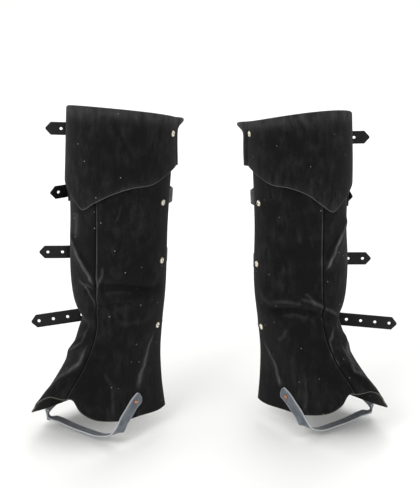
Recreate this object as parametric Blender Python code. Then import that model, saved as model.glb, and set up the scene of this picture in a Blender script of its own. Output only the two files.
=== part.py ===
"""Pair of suede boot covers, worn: two open-backed leg covers with a turned cuff, four buckled
straps and a stirrup each. Metres, +Z up, the front of the pair towards -Y."""

import math
from collections import namedtuple

import bmesh
import bpy
import numpy as np

# Sheet thicknesses and the gap that neighbouring pieces keep
SUEDE = 0.0018
STRAP = 0.0025
CHAPE = 0.0018
STIRRUP = 0.0020
GAP = 0.0003

# The covers hang from the legs at calf height; all heights below are above the soles' level
HOLD_HEIGHT = 0.360
COVER_HEIGHT = 0.430
MEAN_RADIUS = 0.065
TOE_OUT = 38.5
LEAN = 0.0244

# Straps, buckles and rivets
STRAP_WIDTH = 0.018
TIP_LENGTH = 0.007
TIP_BLUNT = 0.0012
HOLE_RADIUS = 0.0021
HOLE_SPACING = 0.0200
ROOT_PAST_RIVET = 0.011
TAIL_BEND = 0.030
TAIL_START = 0.004
BAR_RADIUS = 0.0015
HEEL_BAR_LIFT = 0.0039
OUTER_BAR_LIFT = 0.0026
FRAME_LENGTH = 0.020
FRAME_INSIDE = 0.020
FRAME_CORNER = 0.002
PRONG_RADIUS = 0.0009
PRONG_CROSSING = 0.0065
CHAPE_LENGTH = 0.034
CHAPE_MEETS = 0.012
CHAPE_FLAT = 0.005
RIVET_RADIUS = 0.0045
RIVET_HEIGHT = 0.0016
SMALL_RIVET_RADIUS = 0.0032
SMALL_RIVET_HEIGHT = 0.0010
CHAPE_RIVET_AHEAD = 0.022
SLOT_LENGTH = 0.0100
SLOT_WIDTH = 0.0044
SLOT_DEPTH = (0.0001, 0.0095)
STIRRUP_WIDTH = 0.017
LONGEST_TAIL = 0.14

# A rivet's outline as shares of its radius and height, from its rim to the middle of its dimple
RIVET_PROFILE = ((1.00, 0.00), (1.00, 0.45), (0.72, 1.00), (0.42, 0.85), (0.0, 0.40))

# A direction that no bar or rivet here lies along, from which their cross-sections are measured
ASLANT = (0.31, 0.22, 0.93)

# Cuff: its gap to the panels, how far it stands off at its lower edge, its return inside, its run
# past the medial edge in degrees (below and at the top corner, which curls outwards)
CUFF_GAP = 0.0006
CUFF_FLARE = 0.004
CUFF_RETURN = 0.008
CUFF_RETURN_OVER_STRAP = 0.002
CUFF_PAST = 4.0
CORNER_PAST = 8.0
CORNER_CURL = 0.009
CORNER_DEEP = 0.013

PANEL_COLUMNS = 12
PANEL_ROWS = 28
ROWS_CROWDED = 0.055
CUFF_COLUMNS = 21

# Rings of a cover from the hem up: the share of its height, the back and front points of the ring
# in the leg's own frame (u forward, z up), half its width, its shift towards the outer side, how
# far its sides drop, how far it tilts to the outer side, its turn on the foot's line, squareness
Ring = namedtuple("Ring", "rise back_u back_z front_u front_z half_width shift drop tilt yaw square")
RIGHT_RINGS = (
    Ring(0.00, -0.074, 0.034, 0.135, 0.046, 0.0620, 0.0060, 0.012, -0.005, 0, 3.2),
    Ring(0.09, -0.074, 0.062, 0.111, 0.083, 0.0505, 0.0000, 0.009, -0.002, 0, 2.8),
    Ring(0.19, -0.072, 0.100, 0.086, 0.120, 0.0465, -0.0025, 0.004, 0.000, -3, 2.4),
    Ring(0.29, -0.069, 0.140, 0.066, 0.156, 0.0490, -0.0040, 0.000, 0.000, -8, 2.2),
    Ring(0.39, -0.068, 0.181, 0.062, 0.193, 0.0600, 0.0010, 0.000, 0.000, -12, 2.1),
    Ring(0.65, -0.070, 0.291, 0.066, 0.303, 0.0640, 0.0010, 0.000, 0.000, -13, 2.1),
    Ring(0.85, -0.072, 0.376, 0.069, 0.391, 0.0670, 0.0000, 0.003, -0.001, -13, 2.1),
    Ring(1.00, -0.073, 0.416, 0.070, 0.464, 0.0680, 0.0000, -0.001, -0.0025, -13, 2.1),
)
LEFT_RINGS = (
    Ring(0.00, -0.074, 0.034, 0.136, 0.046, 0.0590, 0.0060, 0.012, -0.005, 0, 3.2),
    Ring(0.09, -0.074, 0.060, 0.113, 0.083, 0.0490, -0.0010, 0.009, -0.002, 0, 2.8),
    Ring(0.19, -0.072, 0.097, 0.086, 0.119, 0.0450, -0.0045, 0.004, 0.000, -3, 2.4),
    Ring(0.29, -0.069, 0.136, 0.066, 0.154, 0.0500, -0.0050, 0.000, 0.000, -8, 2.2),
    Ring(0.39, -0.068, 0.177, 0.062, 0.191, 0.0600, -0.0015, 0.000, 0.000, -12, 2.1),
    Ring(0.65, -0.070, 0.284, 0.065, 0.297, 0.0600, -0.0010, 0.000, 0.000, -13, 2.1),
    Ring(0.85, -0.071, 0.367, 0.068, 0.383, 0.0630, 0.0000, 0.003, -0.002, -13, 2.1),
    Ring(1.00, -0.072, 0.408, 0.069, 0.453, 0.0645, 0.0000, 0.003, -0.003, -13, 2.1),
)

# Where the panels end, in degrees round the leg from its front: seam (towards the inner side),
# inner back edge, outer back edge
Edge = namedtuple("Edge", "rise seam medial lateral")
EDGES = (
    Edge(0.00, 3, 122, 136),
    Edge(0.07, 6, 121, 136),
    Edge(0.18, 10, 119, 136),
    Edge(0.28, 3, 115, 135),
    Edge(0.40, 0, 109, 133),
    Edge(0.60, 0, 105, 129),
    Edge(0.80, 0, 104, 126),
    Edge(1.00, 0, 106, 126),
)

# How far the hem is cut up from the lowest ring, by degrees round the leg (inner side negative)
Hem = namedtuple("Hem", "turn lift")
HEM = (
    Hem(-140, 0.000), Hem(-110, 0.001), Hem(-74, 0.007), Hem(-44, 0.012), Hem(-29, 0.018),
    Hem(-14, 0.029), Hem(0, 0.026), Hem(10, 0.025), Hem(25, 0.013), Hem(41, 0.002),
    Hem(60, 0.000), Hem(140, 0.000),
)

# The cuff's lower edge, as a depth under its top, by degrees round the leg
CuffEdge = namedtuple("CuffEdge", "turn depth")
RIGHT_CUFF = (
    CuffEdge(-112, 0.071), CuffEdge(-90, 0.077), CuffEdge(-62, 0.089), CuffEdge(-40, 0.092),
    CuffEdge(-20, 0.101), CuffEdge(0, 0.116), CuffEdge(13, 0.127), CuffEdge(26, 0.117),
    CuffEdge(48, 0.100), CuffEdge(75, 0.087), CuffEdge(130, 0.080),
)
LEFT_CUFF = (
    CuffEdge(-112, 0.071), CuffEdge(-90, 0.077), CuffEdge(-62, 0.089), CuffEdge(-40, 0.092),
    CuffEdge(-20, 0.102), CuffEdge(-4, 0.118), CuffEdge(8, 0.129), CuffEdge(22, 0.119),
    CuffEdge(45, 0.103), CuffEdge(72, 0.092), CuffEdge(130, 0.085),
)

# Folds of the worn suede: a soft ridge (depth above 0) or trough (below 0) from one place to
# another, with its half width, in metres
Fold = namedtuple("Fold", "rise turn rise_end turn_end width depth")
RIGHT_FOLDS = (
    Fold(0.50, -15, 0.49, -75, 0.010, 0.0020),
    Fold(0.455, -8, 0.44, -80, 0.009, -0.0042),
    Fold(0.42, -12, 0.415, -70, 0.008, 0.0022),
    Fold(0.385, 0, 0.395, -55, 0.008, -0.0024),
    Fold(0.32, 62, 0.30, 20, 0.011, -0.0050),
    Fold(0.585, 40, 0.48, 6, 0.009, 0.0028),
    Fold(0.27, 12, 0.20, 38, 0.008, 0.0028),
    Fold(0.175, -2, 0.03, 25, 0.008, 0.0032),
    Fold(0.22, 55, 0.12, 60, 0.009, -0.0030),
)
LEFT_FOLDS = (
    Fold(0.42, -30, 0.41, -78, 0.010, 0.0022),
    Fold(0.345, -5, 0.36, -82, 0.010, -0.0050),
    Fold(0.40, -22, 0.315, 24, 0.008, 0.0030),
    Fold(0.32, 68, 0.29, 36, 0.011, -0.0050),
    Fold(0.64, 42, 0.52, 9, 0.009, 0.0028),
    Fold(0.23, 40, 0.17, 11, 0.008, 0.0026),
    Fold(0.20, 0, 0.03, 21, 0.008, 0.0032),
    Fold(0.22, 60, 0.12, 62, 0.009, -0.0030),
)

# Straps from the top down: height of the rivet and how far it is from the panel's edge, height
# and turn of the buckle, how many holes stay free, how far the first one is from the point, and
# how many degrees the stiff tail springs out from the leg
Strap = namedtuple("Strap", "rivet_z rivet_in buckle_z turn free_holes first_hole swing")
RIGHT_STRAPS = (
    Strap(0.420, 0.011, 0.406, 112, 2, 0.0210, 44),
    Strap(0.328, 0.020, 0.325, 100, 2, 0.0115, 30),
    Strap(0.245, 0.020, 0.232, 112, 3, 0.0115, 41),
    Strap(0.149, 0.019, 0.145, 117, 5, 0.0105, 39),
)
LEFT_STRAPS = (
    Strap(0.412, 0.006, 0.387, 117, 2, 0.0210, 40),
    Strap(0.319, 0.017, 0.312, 100, 1, 0.0115, 25),
    Strap(0.231, 0.015, 0.212, 123, 3, 0.0115, 34),
    Strap(0.137, 0.014, 0.128, 124, 6, 0.0105, 34),
)

# side_curl is how far the cuff's inner edge stands off the leg all the way down
Leg = namedtuple("Leg", "name out ankle_x ankle_y rings folds cuff side_curl straps")
LEGS = (
    Leg("right", -1, -0.128, 0.000, RIGHT_RINGS, RIGHT_FOLDS, RIGHT_CUFF, 0.002, RIGHT_STRAPS),
    Leg("left", 1, 0.130, 0.020, LEFT_RINGS, LEFT_FOLDS, LEFT_CUFF, 0.006, LEFT_STRAPS),
)


def smooth(knots, values, x):
    """Curve through the knots with parabolic slopes, straight beyond both ends."""
    knots, values = np.asarray(knots, float), np.asarray(values, float)
    slopes = np.gradient(values, knots)
    inside = np.clip(x, knots[0], knots[-1])
    i = np.clip(np.searchsorted(knots, inside, side="right") - 1, 0, len(knots) - 2)
    step = knots[i + 1] - knots[i]
    t = (inside - knots[i]) / step
    curve = ((2 * t**3 - 3 * t**2 + 1) * values[i] + (t**3 - 2 * t**2 + t) * step * slopes[i]
             + (3 * t**2 - 2 * t**3) * values[i + 1] + (t**3 - t**2) * step * slopes[i + 1])
    return curve + (x - inside) * np.where(x < inside, slopes[0], slopes[-1])


def row_at(rows, x):
    """The table's columns, smoothed between its rows, at x of the first column."""
    kind = type(rows[0])
    knots = [row[0] for row in rows]
    return kind(*(smooth(knots, [row[k] for row in rows], x) for k in range(len(kind._fields))))


def unit(vectors):
    return vectors / np.linalg.norm(vectors, axis=-1, keepdims=True)


def from_leg_frame(leg, u, l, z):
    """World point of a place in the foot's frame: u forward, l to the outer side, z up."""
    toe = math.radians(TOE_OUT)
    x = leg.ankle_x + leg.out * (math.sin(toe) * u + math.cos(toe) * l - LEAN * z)
    y = leg.ankle_y - math.cos(toe) * u + math.sin(toe) * l
    return np.stack(np.broadcast_arrays(x, y, z), -1)


def plain(leg, rise, turn):
    """Unfolded cover: a super-ellipse ring at this share of the height, at turn degrees."""
    ring = row_at(leg.rings, rise)
    angle = np.radians(turn)
    c, s = np.cos(angle), np.sin(angle)
    power = 2 / ring.square
    along = np.sign(c) * np.abs(c) ** power
    across = np.sign(s) * np.abs(s) ** power
    u = (ring.front_u + ring.back_u) / 2 + along * (ring.front_u - ring.back_u) / 2
    z = (ring.front_z + ring.back_z) / 2 + along * (ring.front_z - ring.back_z) / 2
    z = z - ring.drop * s**2 + ring.tilt * s
    l = ring.half_width * across + ring.shift
    yaw = np.radians(ring.yaw)
    return from_leg_frame(leg, u * np.cos(yaw) - l * np.sin(yaw), u * np.sin(yaw) + l * np.cos(yaw), z)


def facing(surface, leg, rise, turn):
    """Outward unit normal of a surface(leg, rise, turn), from its neighbouring points."""
    around = surface(leg, rise, turn + 1.0) - surface(leg, rise, turn - 1.0)
    up = surface(leg, rise + 0.004, turn) - surface(leg, rise - 0.004, turn)
    return leg.out * unit(np.cross(around, up))


def fold_height(leg, rise, turn):
    """Sum of the folds: each falls off as a bell with the distance from its line."""
    up, around = rise * COVER_HEIGHT, np.radians(turn) * MEAN_RADIUS
    total = np.zeros(np.broadcast(up, around).shape)
    for fold in leg.folds:
        start = np.array([fold.rise * COVER_HEIGHT, math.radians(fold.turn) * MEAN_RADIUS])
        end = np.array([fold.rise_end * COVER_HEIGHT, math.radians(fold.turn_end) * MEAN_RADIUS])
        line = end - start
        share = ((up - start[0]) * line[0] + (around - start[1]) * line[1]) / (line @ line)
        share = np.clip(share, 0, 1)
        away = (up - start[0] - share * line[0])**2 + (around - start[1] - share * line[1])**2
        total = total + fold.depth * np.exp(-away / fold.width**2)
    return total


def folded(leg, rise, turn):
    height = fold_height(leg, rise, turn)
    return plain(leg, rise, turn) + height[..., None] * facing(plain, leg, rise, turn)


def skin(leg, rise, turn, lift=0.0):
    """Point of the folded cover, lifted off its middle surface along its outward normal."""
    rise, turn, lift = np.broadcast_arrays(rise * 1.0, turn * 1.0, lift * 1.0)
    return folded(leg, rise, turn) + lift[..., None] * facing(folded, leg, rise, turn)


def rise_at_height(leg, turn, z):
    """Share of the height at which the cover passes height z, by repeated correction."""
    rise = np.full(np.broadcast(turn, z).shape, 0.5)
    for _ in range(12):
        rise = rise + (z - plain(leg, rise, turn)[..., 2]) / COVER_HEIGHT
    return rise


def material(name, colour, roughness, metallic=0.0):
    made = bpy.data.materials.new(name)
    made.use_nodes = True
    shader = made.node_tree.nodes["Principled BSDF"]
    shader.inputs["Base Color"].default_value = (*colour, 1)
    shader.inputs["Roughness"].default_value = roughness
    shader.inputs["Metallic"].default_value = metallic
    made.diffuse_color = (*colour, 1)
    return made


def add_mesh(name, points, faces, finish, flat=False):
    """Object from points and faces, its faces turned outwards."""
    mesh = bpy.data.meshes.new(name)
    mesh.from_pydata([tuple(p) for p in points], [], faces)
    shape = bmesh.new()
    shape.from_mesh(mesh)
    bmesh.ops.recalc_face_normals(shape, faces=shape.faces)
    shape.to_mesh(mesh)
    shape.free()
    if not flat:
        mesh.shade_smooth()
        mesh.set_sharp_from_angle(angle=math.radians(40))
    mesh.materials.append(finish)
    made = bpy.data.objects.new(name, mesh)
    bpy.context.scene.collection.objects.link(made)
    made.parent = GROUND
    return made


def add_wall(name, outer, inner, finish):
    """Closed sheet between two grids of points, rows by columns."""
    rows, columns = outer.shape[:2]
    count = rows * columns
    faces = []
    for i in range(rows - 1):
        for j in range(columns - 1):
            a, b = i * columns + j, (i + 1) * columns + j
            faces.append((a, a + 1, b + 1, b))
            faces.append((count + a, count + b, count + b + 1, count + a + 1))
    border = [j for j in range(columns)]
    border += [i * columns + columns - 1 for i in range(1, rows)]
    border += [(rows - 1) * columns + j for j in range(columns - 2, -1, -1)]
    border += [i * columns for i in range(rows - 2, 0, -1)]
    for a, b in zip(border, border[1:] + border[:1]):
        faces.append((b, a, count + a, count + b))
    points = np.concatenate([outer.reshape(-1, 3), inner.reshape(-1, 3)])
    return add_mesh(name, points, faces, finish)


def add_ribbon(name, middle, across, outwards, half_width, half_thick, finish):
    """Flat strap along the middle points, with its own half width at each."""
    wide = across * np.asarray(half_width)[:, None]
    deep = outwards * half_thick
    ring = np.stack([middle - wide + deep, middle + wide + deep,
                     middle + wide - deep, middle - wide - deep], 1)
    count = len(middle)
    faces = [(0, 1, 2, 3), tuple(4 * (count - 1) + k for k in (3, 2, 1, 0))]
    for i in range(count - 1):
        for k in range(4):
            a, b = 4 * i + k, 4 * i + (k + 1) % 4
            faces.append((a, a + 4, b + 4, b))
    return add_mesh(name, ring.reshape(-1, 3), faces, finish, flat=True)


def add_tube(name, middle, radius, sides, finish, closed=False):
    """Round bar along the middle points."""
    count = len(middle)
    if closed:
        along = unit(np.roll(middle, -1, 0) - np.roll(middle, 1, 0))
        spoke = middle - middle.mean(0)
        aside = unit(spoke - (spoke * along).sum(-1, keepdims=True) * along)
    else:
        along = unit(np.gradient(middle, axis=0))
        aside = unit(np.cross(along, ASLANT))
    other = np.cross(along, aside)
    angle = np.arange(sides) * 2 * math.pi / sides
    ring = (middle[:, None] + radius * (np.cos(angle)[None, :, None] * aside[:, None]
                                        + np.sin(angle)[None, :, None] * other[:, None]))
    faces = []
    for i in range(count if closed else count - 1):
        for k in range(sides):
            a, b = i * sides + k, i * sides + (k + 1) % sides
            c, d = (i + 1) % count * sides + (k + 1) % sides, (i + 1) % count * sides + k
            faces.append((a, b, c, d))
    if not closed:
        faces.append(tuple(range(sides)))
        faces.append(tuple((count - 1) * sides + k for k in reversed(range(sides))))
    return add_mesh(name, ring.reshape(-1, 3), faces, finish)


def add_rivet(name, centre, outwards, radius, height, finish, sides=10):
    """Capped rivet turned round its axis: a raised rim with a dimple in the middle."""
    aside = unit(np.cross(outwards, ASLANT))
    other = np.cross(outwards, aside)
    angle = np.arange(sides) * 2 * math.pi / sides
    points, faces = [], []
    for share, up in RIVET_PROFILE[:-1]:
        for a in angle:
            spoke = math.cos(a) * aside + math.sin(a) * other
            points.append(centre + share * radius * spoke + up * height * outwards)
    points.append(centre + RIVET_PROFILE[-1][1] * height * outwards)
    for i in range(len(RIVET_PROFILE) - 2):
        for k in range(sides):
            a, b = i * sides + k, i * sides + (k + 1) % sides
            faces.append((a, b, b + sides, a + sides))
    last = (len(RIVET_PROFILE) - 2) * sides
    faces += [(last + k, last + (k + 1) % sides, len(points) - 1) for k in range(sides)]
    faces.append(tuple(reversed(range(sides))))
    return add_mesh(name, points, faces, finish)


def cut(target, cutter):
    """Subtract the cutter, which stays out of the part."""
    cutter.hide_render = True
    cutter.display_type = "WIRE"
    hole = target.modifiers.new("hole", "BOOLEAN")
    hole.operation = "DIFFERENCE"
    hole.solver = "EXACT"
    hole.object = cutter


def panel_rises(start):
    """Rows of a panel from its cut hem (start) to its top, closer together where it is folded."""
    share = np.linspace(0, 1, PANEL_ROWS + 1)[:, None]
    return start + (1 - start) * (share + ROWS_CROWDED * np.sin(2 * math.pi * share))


def build_panels(leg):
    """The two suede panels, sewn down the front and open at the back."""
    half = SUEDE / 2
    columns = np.linspace(0, 1, PANEL_COLUMNS + 1)[None, :]
    for name, side in (("medial", -1), ("lateral", 1)):
        rise = np.repeat(np.linspace(0, 1, PANEL_ROWS + 1)[:, None], PANEL_COLUMNS + 1, 1)
        for _ in range(3):
            edge = row_at(EDGES, rise)
            seam = -edge.seam + side * math.degrees(GAP / 2 / MEAN_RADIUS)
            back = side * (edge.medial if side < 0 else edge.lateral)
            turn = seam + (back - seam) * columns
            start = smooth([h.turn for h in HEM], [h.lift for h in HEM], turn[0]) / COVER_HEIGHT
            rise = panel_rises(start[None, :])
        outer = skin(leg, rise, turn, half)
        inner = skin(leg, rise, turn, -half)
        add_wall(f"{leg.name}_{name}_panel", outer, inner, SUEDE_FINISH)


def cuff_face(leg, turn, depth, stand):
    """One face of the cuff: up the outside, over the panels' top and down the inside."""
    edge = float(row_at(EDGES, np.array(1.0)).medial)
    corner = np.clip((-turn - edge - 1) / (CUFF_PAST - 1), 0, 1)

    def row(below, lift, over=0.0):
        near_top = np.exp(-(below / CORNER_DEEP)**2)
        moved = turn - CORNER_PAST * corner * near_top
        past = np.clip((-moved - edge - 1) / (CUFF_PAST + CORNER_PAST), 0, None)
        lifted = lift + CORNER_CURL * past**1.5 * near_top + leg.side_curl * corner
        up = unit(skin(leg, 1.0, moved) - skin(leg, 0.98, moved))
        return skin(leg, 1 - below / COVER_HEIGHT, moved, lifted) + over * up

    rows = []
    for share in (0, 0.25, 0.5, 0.75, 0.9, 1):
        below = depth * (1 - share)
        rows.append(row(below, stand + CUFF_FLARE * below / 0.12))
    for swing in np.radians([45, 90, 135]):
        rows.append(row(0 * turn, stand * math.cos(swing), stand * math.sin(swing)))
    full = np.clip((turn + 80) / 15, 0, 1)
    inside = CUFF_RETURN_OVER_STRAP + (CUFF_RETURN - CUFF_RETURN_OVER_STRAP) * full
    for share in (0, 1):
        rows.append(row(inside * share, -stand))
    return np.stack(rows)


def build_cuff(leg):
    """Turned-down suede cuff, folded over the tops of both panels."""
    top = row_at(EDGES, np.array(1.0))
    turn = np.linspace(8 - top.medial, top.lateral, CUFF_COLUMNS - 1)
    turn = np.concatenate([-top.medial - np.array([CUFF_PAST, 1.0]), turn])
    depth = smooth([c.turn for c in leg.cuff], [c.depth for c in leg.cuff], turn)
    near = SUEDE / 2 + CUFF_GAP
    outer = cuff_face(leg, turn, depth, near + SUEDE)
    inner = cuff_face(leg, turn, depth, near)
    add_wall(f"{leg.name}_cuff", outer, inner, SUEDE_FINISH)


def cuff_stands(leg, turn, rise):
    """Lift of the cuff's outer face over the panels' middle surface, at a place it covers."""
    depth = smooth([c.turn for c in leg.cuff], [c.depth for c in leg.cuff], turn)
    below = (1 - rise) * COVER_HEIGHT
    covered = below < depth
    return np.where(covered, SUEDE * 1.5 + CUFF_GAP + CUFF_FLARE * below / 0.12, SUEDE / 2)


def over_cover(leg, rise, turn, lift=0.0):
    """Point over whatever lies outermost there, the cuff or the panel."""
    return skin(leg, rise, turn, lift + cuff_stands(leg, turn, rise))


class Seat:
    """Flat frame where a buckle lies: x forward along the leg, b up, n outwards."""

    def __init__(self, leg, turn, z):
        self.leg, self.turn = leg, float(turn)
        self.rise = float(rise_at_height(leg, np.array(self.turn), np.array(z)))
        self.point = over_cover(leg, self.rise, self.turn)
        reach = STRAP_WIDTH / 2 / COVER_HEIGHT
        up = (over_cover(leg, self.rise + reach, self.turn)
              - over_cover(leg, self.rise - reach, self.turn))
        ahead = over_cover(leg, self.rise, self.turn - 2.0) - over_cover(leg, self.rise, self.turn + 2.0)
        self.n = unit(np.cross(up, ahead)) * leg.out
        ahead[2] = 0
        self.x = unit(ahead - (ahead @ self.n) * self.n)
        self.b = np.cross(self.x, self.n) * leg.out

    def at(self, x, b, n):
        x, b, n = np.broadcast_arrays(x * 1.0, b * 1.0, n * 1.0)
        return self.point + x[..., None] * self.x + b[..., None] * self.b + n[..., None] * self.n

    def on_cover(self, x, b, n):
        """Place x and b along the cover itself, lifted n off its outer face; flat near x = 0."""
        x, b, n = np.broadcast_arrays(x * 1.0, b * 1.0, n * 1.0)
        turn, rise = np.full(x.shape, float(self.turn)), np.full(x.shape, self.rise)
        for _ in range(6):
            off = skin(self.leg, rise, turn) - self.point
            turn = turn + np.degrees(((off @ self.x) - x) / MEAN_RADIUS)
            rise = rise - ((off @ self.b) - b) / COVER_HEIGHT
        share = np.clip((x - CHAPE_FLAT) / CHAPE_FLAT, 0, 1)[..., None]
        share = share**2 * (3 - 2 * share)
        return (1 - share) * self.at(x, b, n) + share * over_cover(self.leg, rise, turn, n)


def strap_lift(x):
    """Height of the strap's middle over the buckle's seat plane: under the outer bar, then over
    the folded chape on the heel bar."""
    low = OUTER_BAR_LIFT - BAR_RADIUS - GAP - STRAP / 2
    high = HEEL_BAR_LIFT + BAR_RADIUS + GAP + CHAPE + GAP + STRAP / 2
    share = np.clip((x + FRAME_LENGTH) / (FRAME_LENGTH - 0.002), 0, 1)
    return low + (high - low) * share**2 * (3 - 2 * share)


def tail_at(seat, strap, distance):
    """Middle of the tail past the buckle: it bends out by the swing, then runs straight."""
    fine = np.linspace(0, LONGEST_TAIL, 281)
    share = np.clip((fine - TAIL_START) / TAIL_BEND, 0, 1)
    angle = math.radians(strap.swing) * share**2 * (3 - 2 * share)
    step = fine[1] - fine[0]
    x = np.concatenate([[0], np.cumsum(np.cos(angle[:-1]) * step)])
    n = np.concatenate([[0], np.cumsum(np.sin(angle[:-1]) * step)])
    return seat.at(np.interp(distance, fine, x), 0.0, float(strap_lift(0.0)) + np.interp(distance, fine, n))


def build_strap(leg, number, strap, seat):
    """Strap from under the inner panel's edge, round the back, through its buckle."""
    name = f"{leg.name}_strap_{number}"
    inside = -(SUEDE / 2 + GAP + STRAP / 2)
    edge = -float(row_at(EDGES, np.array(seat.rise)).medial)
    root = edge + math.degrees((strap.rivet_in + ROOT_PAST_RIVET) / MEAN_RADIUS)
    last = strap.turn - 360 + math.degrees((FRAME_LENGTH + 0.012) / MEAN_RADIUS)
    turns = np.concatenate([np.linspace(root, edge - 6, 3), np.linspace(edge - 6, last, 9)[1:]])
    share = (root - turns) / (root - last)
    z = strap.rivet_z + (strap.buckle_z - strap.rivet_z) * share
    rise = rise_at_height(leg, turns, z)
    face = float(cuff_stands(leg, seat.turn, seat.rise))
    outside = face + GAP + STRAP / 2 + 0.001
    swing = np.clip((edge - 6 - turns) / (edge - 6 - last - 12), 0, 1)
    lift = inside + (outside - inside) * swing**2 * (3 - 2 * swing)
    path = skin(leg, rise, turns, lift)
    out = facing(folded, leg, rise, turns)
    tail = strap.first_hole + strap.free_holes * HOLE_SPACING - PRONG_CROSSING
    x = -FRAME_LENGTH + np.linspace(0, FRAME_LENGTH - 0.002, 6)
    bend = np.linspace(TAIL_START, min(TAIL_START + TAIL_BEND, tail - TIP_LENGTH), 4)
    run = np.unique(np.concatenate([bend, [tail - TIP_LENGTH, tail]]))
    path = np.concatenate([path, seat.at(x, 0.0, strap_lift(x)), tail_at(seat, strap, run)])
    along = unit(np.gradient(path, axis=0))
    out = np.concatenate([out, np.repeat(seat.n[None], len(x) + len(run), 0)])
    out = unit(out - (out * along).sum(-1, keepdims=True) * along)
    across = np.cross(along, out)
    half = np.full(len(path), STRAP_WIDTH / 2)
    half[-1] = TIP_BLUNT
    made = add_ribbon(name, path, across, out, half, STRAP / 2, LEATHER_FINISH)
    for k in range(strap.free_holes):
        place = tail - strap.first_hole - k * HOLE_SPACING
        centre, ahead = tail_at(seat, strap, np.array([place, place + 0.001]))
        through = np.cross(seat.b, unit(ahead - centre))
        ends = np.stack([centre - 0.004 * through, centre + 0.004 * through])
        cut(made, add_tube(f"{name}_hole_{k}", ends, HOLE_RADIUS, 6, LEATHER_FINISH))
    return made


def prong_path(seat):
    """Prong: hooked round the heel bar, then straight to the top of the outer bar."""
    reach = BAR_RADIUS + GAP + PRONG_RADIUS
    hook = np.radians(np.array([-70, -20, 30, 80]))
    x = np.concatenate([reach * np.cos(hook), [-FRAME_LENGTH * 0.55, -FRAME_LENGTH - 0.001]])
    n = np.concatenate([HEEL_BAR_LIFT + reach * np.sin(hook),
                        [(HEEL_BAR_LIFT + OUTER_BAR_LIFT) / 2 + reach + 0.0002, OUTER_BAR_LIFT + reach]])
    return seat.at(x, 0.0, n)


def build_buckle(leg, number, seat, strap_piece):
    """Nickel frame and prong, held by a folded leather chape that is riveted on."""
    name = f"{leg.name}_buckle_{number}"
    half = FRAME_INSIDE / 2 + BAR_RADIUS
    corners = []
    for x, b, start in ((-FRAME_LENGTH, half, 90), (-FRAME_LENGTH, -half, 180),
                        (0, -half, 270), (0, half, 0)):
        inner_x = x + math.copysign(FRAME_CORNER, -FRAME_LENGTH / 2 - x)
        inner_b = b - math.copysign(FRAME_CORNER, b)
        for angle in (0, 45, 90):
            swing = math.radians(start + angle)
            corners.append((inner_x + FRAME_CORNER * math.cos(swing),
                            inner_b + FRAME_CORNER * math.sin(swing)))
    x, b = np.array(corners).T
    tilt = (HEEL_BAR_LIFT - OUTER_BAR_LIFT) / FRAME_LENGTH
    add_tube(f"{name}_frame", seat.at(x, b, HEEL_BAR_LIFT + tilt * x), BAR_RADIUS, 6,
             NICKEL_FINISH, closed=True)
    prong = prong_path(seat)
    add_tube(f"{name}_prong", prong, PRONG_RADIUS, 6, NICKEL_FINISH)
    wide = add_tube(f"{name}_prong_clearance", prong, PRONG_RADIUS + 0.0005, 6, NICKEL_FINISH)
    cut(strap_piece, wide)
    chape = build_chape(f"{leg.name}_chape_{number}", seat)
    slot = add_slot(f"{leg.name}_chape_{number}_slot", seat)
    cut(chape, slot)
    cap = CHAPE * 2 + GAP * 5
    ahead = np.array(CHAPE_RIVET_AHEAD)
    place = seat.on_cover(ahead, np.array(0.0), np.array(cap))
    above = seat.on_cover(ahead, np.array(0.0), np.array(cap + 0.001))
    add_rivet(f"{leg.name}_chape_rivet_{number}", place, unit(above - place),
              SMALL_RIVET_RADIUS, SMALL_RIVET_HEIGHT, NICKEL_FINISH, sides=8)


def build_chape(name, seat):
    """Leather folded round the heel bar, both ends lying on the cover ahead of it."""
    fold = BAR_RADIUS + GAP + CHAPE / 2
    low = 2 * GAP + CHAPE / 2
    high = low + CHAPE + GAP
    swing = np.radians(np.array([265, 225, 180, 135, 90]))
    x = np.concatenate([[CHAPE_LENGTH, CHAPE_RIVET_AHEAD, CHAPE_MEETS, 0.004], fold * np.cos(swing),
                        [0.005, CHAPE_MEETS, CHAPE_RIVET_AHEAD, CHAPE_LENGTH]])
    n = np.concatenate([[low, low, low, low], HEEL_BAR_LIFT + fold * np.sin(swing),
                        [HEEL_BAR_LIFT + 0.55 * fold, high, high, high]])
    n = np.maximum(n, low)
    step_x, step_n = np.gradient(x), np.gradient(n)
    size = np.hypot(step_x, step_n)
    side_x, side_n = -step_n / size * CHAPE / 2, step_x / size * CHAPE / 2
    half = STRAP_WIDTH / 2
    b = np.array([-half, half])[None, :]
    outer = seat.on_cover((x + side_x)[:, None], b, (n + side_n)[:, None])
    inner = seat.on_cover((x - side_x)[:, None], b, (n - side_n)[:, None])
    return add_wall(name, outer, inner, LEATHER_FINISH)


def add_slot(name, seat):
    """Cutter for the slot in the chape's fold, in which the prong swings."""
    corners = [(x, b, n) for x in (-SLOT_LENGTH / 2, SLOT_LENGTH / 2)
               for b in (-SLOT_WIDTH / 2, SLOT_WIDTH / 2) for n in SLOT_DEPTH]
    points = [seat.at(np.array(x), np.array(b), np.array(n)) for x, b, n in corners]
    faces = [(0, 1, 3, 2), (4, 6, 7, 5), (0, 4, 5, 1), (2, 3, 7, 6), (0, 2, 6, 4), (1, 5, 7, 3)]
    return add_mesh(name, points, faces, LEATHER_FINISH, flat=True)


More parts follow.
